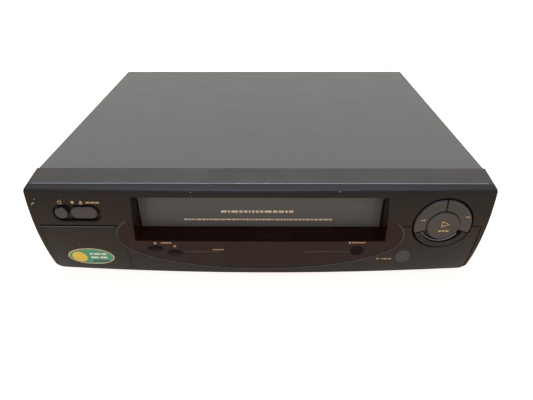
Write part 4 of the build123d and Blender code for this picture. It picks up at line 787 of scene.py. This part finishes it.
def collar_grower() -> Grower:
    """Tree that sets a tapered collar on each point."""
    made = Grower("socket collars", {"Radius": 7.3, "Thickness": 0.75, "Taper": 0.35})
    made.close_on_points(made.cone(48, "Thickness").outputs["Mesh"])
    return made


def screw_grower() -> Grower:
    """Tree that sets a pan-head screw with a cross recess on each point."""
    made = Grower("pan head screws", {"Radius": 2.9, "Height": 1.5, "Taper": 0.8, "Slot": 0.55})
    cut = made.cone(28, "Height").outputs["Mesh"]
    lift = add_node(made.tree, "ShaderNodeCombineXYZ", links={"Z": made.given("Height")})
    for wide, narrow in (("X", "Y"), ("Y", "X")):
        size = add_node(
            made.tree, "ShaderNodeCombineXYZ",
            links={
                wide: made.given("Radius"), narrow: made.given("Slot"), "Z": made.given("Height")
            },
        )
        cube = add_node(made.tree, "GeometryNodeMeshCube", links={"Size": size})
        raised = add_node(
            made.tree, "GeometryNodeTransform", links={"Geometry": cube, "Translation": lift}
        )
        node = add_node(
            made.tree, "GeometryNodeMeshBoolean",
            links={"Mesh 1": cut, "Mesh 2": raised}, operation="DIFFERENCE", solver="EXACT",
        )
        cut = node.outputs["Mesh"]
    made.close_on_points(cut)
    return made


def point_mesh(places: list[Vector], joined: bool = False) -> Mesh:
    """Mesh of points in metres, joined by edges into one path where asked."""
    mesh = bpy.data.meshes.new("seeds")
    edges = [(place, place + 1) for place in range(len(places) - 1)] if joined else []
    mesh.from_pydata(places, edges, [])
    return mesh


def middle_of(box: tuple[Vector, Vector]) -> list[float]:
    """Centre of a box that is given by its lowest and highest corners."""
    return [(low + high) / 2 for low, high in zip(*box)]


@dataclass
class Sockets:
    """Coloured collars round the phono sockets, placed by the record's mounts."""

    mounts: list[dict]
    reach: float = 1.0  # the metal shoulder stands this far out of the panel, mm
    thickness: float = 0.75
    colours: dict[str, Finish] = field(
        default_factory=lambda: {
            "front_phono_1": YELLOW_ABS, "front_phono_2": WHITE_ABS, "front_phono_3": RED_ABS,
            "rear_phono_upper_inner": YELLOW_ABS, "rear_phono_lower_inner": WHITE_ABS,
            "rear_phono_upper_outer": YELLOW_ABS, "rear_phono_lower_outer": WHITE_ABS,
        }
    )

    def build(self) -> None:
        """Sets one mesh of collars for each colour and side."""
        tree = collar_grower()
        sets: dict[tuple[str, Finish], list[Vector]] = {}
        for mount in self.mounts:
            if mount["name"] not in self.colours:
                continue
            outward = Vector(mount["axis"])
            back = mount["dims"]["length_mm"] / 2 + self.reach
            seat = Vector(mount["pos_m"]) - outward * back * MM
            side = "front" if outward.y < 0 else "rear"
            sets.setdefault((side, self.colours[mount["name"]]), []).append(seat)
        for (side, finish), seats in sets.items():
            lean = math.pi / 2 if side == "front" else -math.pi / 2
            sizes = {"Thickness": self.thickness}
            mesh = tree.grow(point_mesh(seats), finish, sizes, (lean, 0.0, 0.0))
            finished(f"collars_{side}_{finish.name}", mesh, finish, "case")


@dataclass
class PanelScrews:
    """Small pan-head screws that hold the socket blocks to the rear panel."""

    seat_sunk: float = 0.1
    edge: float = 7.0

    def seats(self) -> list[Vector]:
        """Places on the panel, beside the phono block, the tuner and the mains inlet."""
        jacks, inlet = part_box("rear_av_jacks"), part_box("mains_inlet")
        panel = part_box("rear_panel")[1][1]
        tuner_x, edge = middle_of(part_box("tuner_module"))[0], self.edge * MM
        jacks_x, _, jacks_z = middle_of(jacks)
        inlet_z = middle_of(inlet)[2]
        spots = [
            (jacks_x, jacks[1][2] + edge * 0.6), (tuner_x, jacks_z + 3 * edge),
            (tuner_x, jacks_z - 2 * edge), (inlet[0][0] - edge, inlet_z),
            (inlet[1][0] + edge, inlet_z),
        ]
        return [Vector((x, panel - self.seat_sunk * MM, z)) for x, z in spots]

    def build(self) -> None:
        """Grows the screws."""
        mesh = screw_grower().grow(point_mesh(self.seats()), ZINC, turn=(-math.pi / 2, 0.0, 0.0))
        finished("rear_panel_screws", mesh, ZINC, "case")


@dataclass
class HighlightBeads:
    """Fine pale beads that are painted highlights: light lines on edges of the front. Sizes in mm.
    """

    nodes: dict[str, Piece]
    proud: float = 0.1
    fine: float = 0.3
    rim_lift: float = 0.35
    rim_inset: float = 0.5
    flap_drop: float = 0.35
    flap_span: tuple[float, float] = (1.0, -115.6)  # from its end, to this place
    ridge: float = 2.9
    ridge_inset: float = 4.4
    ridge_radius: float = 0.42
    scoop: tuple[float, float, float] = (16.6, -150.0, -35.0)  # radius, angles
    scoop_radius: float = 0.4
    shoulder_glint: float = 21.0
    shoulder_radius: float = 0.22
    door_half: float = 98.0
    door_drop: float = 0.9
    tree: Grower = field(default_factory=bead_grower)

    def outline_chain(self, node: str, skip: list[str], mouth: str) -> list[Vector]:
        """Longest chain of edges round the front of a node, clear of other nodes.

        Args:
            node: Node whose front outline is followed.
            skip: Nodes whose holes are left out.
            mouth: Node whose width and lower edge bound the stretch that is left out.

        Returns:
            The points of the chain in metres.
        """
        made = bmesh.new()
        made.from_mesh(self.nodes[node].data)
        bmesh.ops.remove_doubles(made, verts=made.verts, dist=1e-6)
        boxes = [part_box(name) for name in skip]
        door_low, door_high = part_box(mouth)
        margin = 2.0 * MM

        def left_out(at: Vector) -> bool:
            """Whether a point lies in a key's hole or in the mouth."""
            in_hole = any(
                low[0] - margin < at.x < high[0] + margin
                and low[2] - margin < at.z < high[2] + margin
                for low, high in boxes
            )
            in_mouth = door_low[0] - 2 * margin < at.x < door_high[0] + margin
            return in_hole or (in_mouth and at.z > door_low[2] - 3 * margin)

        links: dict[int, list[int]] = {}
        spots: dict[int, Vector] = {}
        for edge in made.edges:
            if len(edge.link_faces) != 2:
                continue
            faced = sorted(face.normal.y for face in edge.link_faces)
            if faced[0] > -0.8 or abs(faced[1]) > 0.5:
                continue
            ends = edge.verts
            if left_out(ends[0].co) or left_out(ends[1].co):
                continue
            for here, there in ((ends[0], ends[1]), (ends[1], ends[0])):
                links.setdefault(here.index, []).append(there.index)
                spots[here.index] = here.co.copy()
        made.free()
        chains = []
        seen: set[int] = set()
        for start in sorted(links, key=lambda place: (len(links[place]), place)):
            if start in seen:
                continue
            chain, here = [], start
            while here is not None:
                seen.add(here)
                chain.append(spots[here])
                here = next((there for there in links[here] if there not in seen), None)
            chains.append(chain)
        return max(chains, key=len)

    def on_front(self, node: str, places: Points) -> list[Vector]:
        """Points just proud of a node's front at each x and z in mm."""
        surface = Surface(self.nodes[node])
        return [Vector((x, surface.depth(x, z) - self.proud, z)) * MM for x, z in places]

    def level_line(self, node: str, left: float, right: float, z: float) -> list[Vector]:
        """Points along a level line on a node's front, x and z in mm."""
        steps = max(2, int((right - left) / 4))
        return self.on_front(node, [(x, z) for x in spread(left, right, steps)])

    def line_across(self, node: str, depth: float, inset: float) -> list[Vector]:
        """Points across a node's upper side at one depth, both in mm."""
        surface = Surface(self.nodes[node])
        low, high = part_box(node)
        left, right = low[0] / MM + inset, high[0] / MM - inset
        return [
            Vector((x, depth, surface.height(x, depth) + self.proud)) * MM
            for x in spread(left, right, 60)
        ]

    def drawn_in(self, node: str, path: list[Vector]) -> list[Vector]:
        """Moves a path inwards from an oval node's outline, square to the oval."""
        low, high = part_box(node)
        half, tall = (high[0] - low[0]) / 2, high[2] - low[2]
        middle = middle_of((low, high))[0]
        moved = []
        for spot in path:
            outward = Vector(((spot.x - middle) / half**2, 0.0, (spot.z - high[2]) / tall**2))
            moved.append(spot - outward.normalized() * self.rim_inset * MM)
        return moved

    def arc_line(self, node: str, radius: float, start: float, end: float) -> list[Vector]:
        """Points along an arc about the ring's centre on a node's front; mm and degrees."""
        x, _, z = (middle / MM for middle in middle_of(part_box("play_button")))
        turns = map(math.radians, spread(start, end, 36))
        return self.on_front(node, [on_circle(x, z, radius, turn) for turn in turns])

    def bead(
        self,
        name: str,
        path: list[Vector],
        body: str,
        radius: float,
        finish: Finish = EDGE_HIGHLIGHT_STYRENE,
    ) -> None:
        """Sweeps a bead along a path and lets it ride on a body."""
        mesh = self.tree.grow(point_mesh(path, True), finish, {"Radius": radius})
        finished(name, mesh, finish, body)

    def build(self) -> None:
        """Lays the painted highlight beads round the window and on the flap, ridge, ring and door.
        """
        keys = ["record_button", "program_down_button", "program_up_button"]
        rim = self.outline_chain("display_window", keys, "cassette_door")
        raised = [spot - Vector((0, self.rim_lift * MM, 0)) for spot in rim]
        inner = self.drawn_in("display_window", raised)
        self.bead("window_rim_highlight_bead", inner, "case", self.fine)
        flap_low, flap_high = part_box("av_flap")
        inset, end = self.flap_span
        top = flap_high[2] / MM - self.flap_drop
        flap_line = self.level_line("av_flap", flap_low[0] / MM + inset, end, top)
        self.bead("flap_edge_highlight_bead", flap_line, "flap", self.fine)
        # Painted highlights: the light line along the upper ridge and the glint in the ring's
        # scoop.
        ridge = self.line_across("front_bezel", behind(self.ridge), self.ridge_inset)
        self.bead("upper_ridge_highlight_bead", ridge, "case", self.ridge_radius, GLINT_PAINTED_STYRENE)
        scoop = self.arc_line("ring_trim", *self.scoop)
        self.bead("scoop_glint", scoop, "case", self.scoop_radius, GLINT_PAINTED_STYRENE)
        # Painted highlights along the outer shoulders of the rewind and fast-forward keys.
        for key, start, end in (("rewind", 96.0, 158.0), ("fast_forward", 30.0, 84.0)):
            shoulder_glint = self.arc_line(f"{key}_button", self.shoulder_glint, start, end)
            self.bead(f"{key}_shoulder", shoulder_glint, f"{key}_key", self.shoulder_radius)
        # Painted highlight along the top edge of the door.
        door_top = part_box("cassette_door")[1][2] / MM - self.door_drop
        door_line = self.level_line("cassette_door", -self.door_half, self.door_half, door_top)
        self.bead("door_edge_highlight_bead", door_line, "door", self.fine)


@dataclass
class WearMarks:
    """A few pale scuffs and specks that years of handling left on the moulding."""

    nodes: dict[str, Piece]

    def build(self) -> None:
        """Lays the marks on the moulding."""
        scuffs = [
            [(-176.4, 77.8), (-175.4, 77.6), (-173.6, 79.4), (-174.0, 79.9)],
            disc(-172.6, 82.4, 0.35), disc(60.5, 89.2, 0.3), disc(-52.4, 88.7, 0.3),
        ]
        bezel = self.nodes["front_bezel"]
        lay("moulding_scuffs", bezel, scuffs, BRUISED_STYRENE, "case", 0.04)


# ---------------------------------------------------------------- prints and films


@dataclass
class FrontPrint:
    """Pale gold symbols printed on the moulding, the window, the door and the keys."""

    nodes: dict[str, Piece]
    stroke: float = 0.45

    def lay(
        self, name: str, node: str, outlines: list[Points], body: str, ink: Finish = GOLD_INK
    ) -> None:
        """Lays outlines on the named CAD node as one printed piece."""
        lay(name, self.nodes[node], outlines, ink, body)

    def power_mark(self) -> list[Points]:
        """Broken ring with an upright bar, above the power key."""
        x, z = -153.8, 80.0
        marks = ring_pieces(x, z, 1.15, 1.15 + self.stroke, 125, 415)
        marks.append(bar(x - self.stroke / 2, x + self.stroke / 2, z + 1.2, 1.9))
        return marks

    def stop_eject_mark(self) -> list[Points]:
        """Square, stroke and underlined triangle above the wide key."""
        marks = [bar(-144.8, -142.8, 80.0, 2.0), arrow(-137.4, 80.2, 1.5, 90)]
        marks.append(bar(-138.9, -135.9, 78.7, self.stroke))
        return marks + dashes(-133.5, -122.5, 79.9, 1.1, 5)

    def bezel(self) -> None:
        """Prints on the moulding."""
        marks = self.power_mark() + self.stop_eject_mark()
        marks += [bar(96.8, 97.5, 23.2, 2.0), bar(98.4, 99.1, 23.2, 2.0)]
        marks += dashes(101.0, 109.6, 23.1, 1.1, 3)
        self.lay("bezel_print", "front_bezel", marks, "case")

    def window(self) -> None:
        """Prints on the smoked window."""
        marks = [arrow(-85.5, 40.7, 1.5, -90), arrow(-69.9, 37.4, 1.5, 90)]
        marks += dashes(-80.7, -72.4, 41.1, 1.1, 8)
        marks += [disc(72.6, 41.9, 0.95)] + dashes(74.6, 86.0, 41.9, 1.1, 2)
        marks += dashes(-39.0, -30.0, 34.0, 0.9, 6)
        self.lay("window_print", "display_window", marks, "case")

    def door(self) -> None:
        """Two rows of broken pinstripe across the door."""
        marks = dashes(-32.0, 27.0, 62.0, 2.0, 7)
        marks += dashes(-63.0, 60.0, 54.2, 1.3, 4)
        self.lay("door_print", "cassette_door", marks, "door", CREAM_INK)

    def ring(self) -> None:
        """Arrows on the play, rewind and fast-forward keys."""
        play = [
            [(142.2, 58.4), (148.6, 61.3), (147.5, 61.3), (142.8, 59.3)],
            [(142.8, 63.3), (147.5, 61.3), (148.6, 61.3), (142.2, 64.2)],
            [(142.2, 58.4), (142.8, 59.3), (142.8, 63.3), (142.2, 64.2)],
        ]
        play += dashes(140.6, 148.6, 55.0, 1.3, 9)
        self.lay("play_print", "play_button", play, "play_key")
        back = [arrow(126.4, 64.9, 1.0, 180), arrow(128.2, 64.9, 1.0, 180)]
        self.lay("rewind_print", "rewind_button", back, "rewind_key")
        on = [arrow(160.3, 67.8, 1.0, 0), arrow(162.1, 67.8, 1.0, 0)]
        self.lay("fast_forward_print", "fast_forward_button", on, "fast_forward_key")

    def build(self) -> None:
        """Lays every print."""
        self.bezel()
        self.window()
        self.door()
        self.ring()


@dataclass
class FlapSticker:
    """Plain oval sticker on the jack flap: green film with a gold rim and a yellow disc."""

    nodes: dict[str, Piece]
    x: float = -141.8
    z: float = 24.2
    half_width: float = 19.4
    half_height: float = 10.2
    rim: float = 0.9
    rows: int = 24

    def film(self, name: str, outlines: list[Points], finish: Finish, lift: float) -> None:
        """Lays one film of the sticker on the flap."""
        lay(name, self.nodes["av_flap"], outlines, finish, "flap", lift)

    def oval(self, inset: float) -> list[Points]:
        """The oval cut into level strips, so that it follows the curved flap."""
        strips = []
        wide, tall = self.half_width - inset, self.half_height - inset
        edges = spread(-tall, tall, self.rows)
        for low, high in zip(edges, edges[1:]):
            half_low, half_high = (
                wide * math.sqrt(max(0.0, 1 - (z / tall) ** 2)) for z in (low, high)
            )
            strip = [
                (self.x - half_low, self.z + low), (self.x, self.z + low),
                (self.x + half_low, self.z + low), (self.x + half_high, self.z + high),
                (self.x, self.z + high), (self.x - half_high, self.z + high),
            ]
            if half_low < 0.01:
                strip = strip[1:2] + strip[3:]
            elif half_high < 0.01:
                strip = strip[:3] + strip[4:5]
            strips.append(strip)
        return strips

    def build(self) -> None:
        """Lays the rim, the ground and the plain motif."""
        self.film("sticker_rim", self.oval(0.0), GOLD_FILM, 0.08)
        self.film("sticker_ground", self.oval(self.rim), GREEN_FILM, 0.11)
        disc_marks = [disc(self.x - 9.8, self.z - 0.5, 6.3)]
        self.film("sticker_disc", disc_marks, YELLOW_FILM, 0.15)
        band = [bar(self.x, self.x + 14.0, self.z - 5.6, 2.2)]
        self.film("sticker_band", band, DARK_FILM, 0.15)
        rows = dashes(self.x - 0.5, self.x + 13.5, self.z + 3.4, 2.0, 3)
        rows += dashes(self.x - 0.5, self.x + 15.5, self.z - 1.0, 2.2, 5)
        self.film("sticker_dashes", rows, WHITE_FILM, 0.15)


@dataclass
class DisplayFace:
    """Unlit figures of the fluorescent display: four figures of seven bars and a colon."""

    nodes: dict[str, Piece]
    left: float = -20.4
    low: float = 14.4
    width: float = 7.6
    height: float = 13.0
    pitch: float = 10.2
    stroke: float = 1.3

    def figure(self, left: float) -> list[Points]:
        """The seven bars of one figure."""
        right, middle = left + self.width, self.low + self.height / 2
        top, gap = self.low + self.height, 0.35
        half = self.stroke / 2
        level = [
            bar(left + self.stroke, right - self.stroke, z, self.stroke)
            for z in (self.low + half, middle, top - half)
        ]
        upright = []
        for x in (left, right - self.stroke):
            for start, end in ((self.low, middle), (middle, top)):
                upright.append(
                    [
                        (x, start + gap + half), (x + self.stroke, start + gap + half),
                        (x + self.stroke, end - gap - half), (x, end - gap - half),
                    ]
                )
        return level + upright

    def build(self) -> None:
        """Lays the figures on the tube's front."""
        marks: list[Points] = []
        for place, extra in enumerate((0.0, 0.0, 2.6, 2.6)):
            marks += self.figure(self.left + place * self.pitch + extra)
        colon = self.left + 2 * self.pitch + 0.1
        marks += [disc(colon, self.low + 4.2, 0.8), disc(colon, self.low + 9.0, 0.8)]
        tube = self.nodes["display_tube"]
        lay("display_figures", tube, marks, PHOSPHOR, "case", 0.1)


# ---------------------------------------------------------------- studio


@dataclass(frozen=True)
class Lamp:
    """Soft oblong lamp: places in metres, width and height in metres, power in watts."""

    name: str
    place: tuple[float, float, float]
    size: tuple[float, float]
    power: float
    colour: str
    shine: Shine
    target: tuple[float, float, float] = (0.0, 0.0, 0.05)

    def hang(self) -> None:
        """Adds the lamp, turned to its target."""
        data = bpy.data.lights.new(self.name, "AREA")
        data.shape = "RECTANGLE"
        data.energy, (data.size, data.size_y) = self.power, self.size
        data.color = linear(self.colour)[:3]
        made = linked(self.name, data)
        made.location = self.place
        aim = Vector(self.target) - Vector(self.place)
        made.rotation_euler = aim.to_track_quat("-Z", "Y").to_euler()
        made.visible_camera = False
        made.visible_diffuse, made.visible_glossy = self.shine.value


FLOOR_BOUNCE = (0.0, -0.26, 0.012)  # m, just before the feet
FRONT_FOOT = (0.0, -0.146, 0.035)  # m, low on the front
LAMPS = (
    Lamp("lamp_above", (0.0, 0.3, 1.5), (1.3, 1.0), 16.0, "#fffdf8", Shine.SOFT),
    Lamp("lamp_gloss", (0.0, 0.45, 1.45), (1.3, 1.0), 9.0, "#e4ecff", Shine.GLINT),
    Lamp("lamp_window", (0.0, 0.1, 1.55), (1.6, 0.25), 9.0, "#8fb6ff", Shine.GLINT),
    Lamp("lamp_pane", (-0.08, -0.2, 1.6), (0.12, 0.3), 6.0, "#9cbcff", Shine.GLINT),
    Lamp("lamp_front", (0.0, -1.5, 1.25), (2.6, 0.2), 7.0, "#9fbfff", Shine.WHOLE),
    Lamp("lamp_bounce", FLOOR_BOUNCE, (0.5, 0.16), 0.3, "#ffcf98", Shine.SOFT, FRONT_FOOT),
)


@dataclass
class Studio:
    """Pale floor, lamps, surroundings and the camera."""

    eye_mm: tuple[float, float, float] = (7.36, -437.06, 262.43)
    down: float = 0.56355
    turn: float = 0.00763
    roll: float = -0.00231
    lens: float = 29.897
    sky: float = 0.4
    sky_colour: str = "#e9e6e0"
    floor_half: float = 6.0
    floor_colour: str = "#d9c4a8"
    floor_white: float = 0.82

    def camera(self) -> None:
        """Sets the camera up."""
        data = bpy.data.cameras.new("camera")
        data.lens = self.lens
        data.sensor_width = 36.0
        data.clip_start, data.clip_end = 0.01, 50.0
        made = linked("camera", data)
        sine, cosine = math.sin(self.turn), math.cos(self.turn)
        ahead = Vector(
            (-sine * math.cos(self.down), cosine * math.cos(self.down), -math.sin(self.down))
        )
        right = Vector((cosine, sine, 0))
        up = right.cross(ahead)
        side = math.cos(self.roll) * right + math.sin(self.roll) * up
        top = -math.sin(self.roll) * right + math.cos(self.roll) * up
        turned = Matrix((side, top, -ahead)).transposed().to_4x4()
        made.matrix_world = Matrix.Translation(Vector(self.eye_mm) * MM) @ turned
        bpy.context.scene.camera = made

    def close(self, tree: Tree, kind: str, lit: Node, shown: Node) -> None:
        """Ends a tree that lights by one shader and shows the other where it is seen.

        Args:
            tree: The tree.
            kind: Type name of its output.
            lit: Shader that gives the light.
            shown: Shader for what the camera, reflections and clear parts see.
        """
        path = add_node(tree, "ShaderNodeLightPath")
        seen = path.outputs["Is Camera Ray"]
        for name in ("Is Glossy Ray", "Is Transmission Ray"):
            either = add_node(
                tree, "ShaderNodeMath", links={0: seen, 1: path.outputs[name]}, operation="MAXIMUM"
            )
            seen = either.outputs[0]
        mixed = add_node(tree, "ShaderNodeMixShader", links={0: seen, 1: lit, 2: shown})
        add_node(tree, kind, links={"Surface": mixed.outputs[0]})

    def world(self) -> None:
        """Even pale surroundings that show as plain white."""
        made = bpy.data.worlds.new("surroundings")
        bpy.context.scene.world = made
        tree = empty_tree(made)
        lit = add_node(
            tree, "ShaderNodeBackground", {"Color": linear(self.sky_colour), "Strength": self.sky}
        )
        white = add_node(tree, "ShaderNodeBackground", {"Color": (1, 1, 1, 1), "Strength": 1.0})
        self.close(tree, "ShaderNodeOutputWorld", lit, white)

    def floor(self) -> None:
        """Wide pale floor under the feet, which shows white and keeps the soft shadow."""
        mesh = bpy.data.meshes.new("floor")
        half = self.floor_half
        corners = [(-half, -half, 0), (half, -half, 0), (half, half, 0), (-half, half, 0)]
        mesh.from_pydata(corners, [], [(0, 1, 2, 3)])
        finish = bpy.data.materials.new("floor_painted_pale")
        tree = empty_tree(finish)
        paint = add_node(
            tree, "ShaderNodeBsdfDiffuse", {"Color": linear(self.floor_colour), "Roughness": 0.5}
        )
        white = add_node(
            tree, "ShaderNodeEmission", {"Color": (1, 1, 1, 1), "Strength": self.floor_white}
        )
        both = add_node(tree, "ShaderNodeAddShader", links={0: paint, 1: white})
        self.close(tree, "ShaderNodeOutputMaterial", paint, both)
        mesh.materials.append(finish)
        made = linked("floor", mesh)

    def build(self) -> None:
        """Sets up camera, lamps, surroundings and floor."""
        bpy.context.scene.view_settings.view_transform = "Standard"
        self.camera()
        self.world()
        self.floor()
        for lamp in LAMPS:
            lamp.hang()


def main() -> None:
    """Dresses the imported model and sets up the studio."""
    logging.basicConfig(level=logging.INFO, format="%(name)s: %(message)s")
    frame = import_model()
    Studio().build()
    dress_cad(frame["nodes"])
    for dresser in (FrontPrint, FlapSticker, DisplayFace, HighlightBeads, WearMarks):
        dresser(frame["nodes"]).build()
    Sockets(frame["record"]["mounts"]).build()
    PanelScrews().build()


if __name__ == "__main__":
    main()
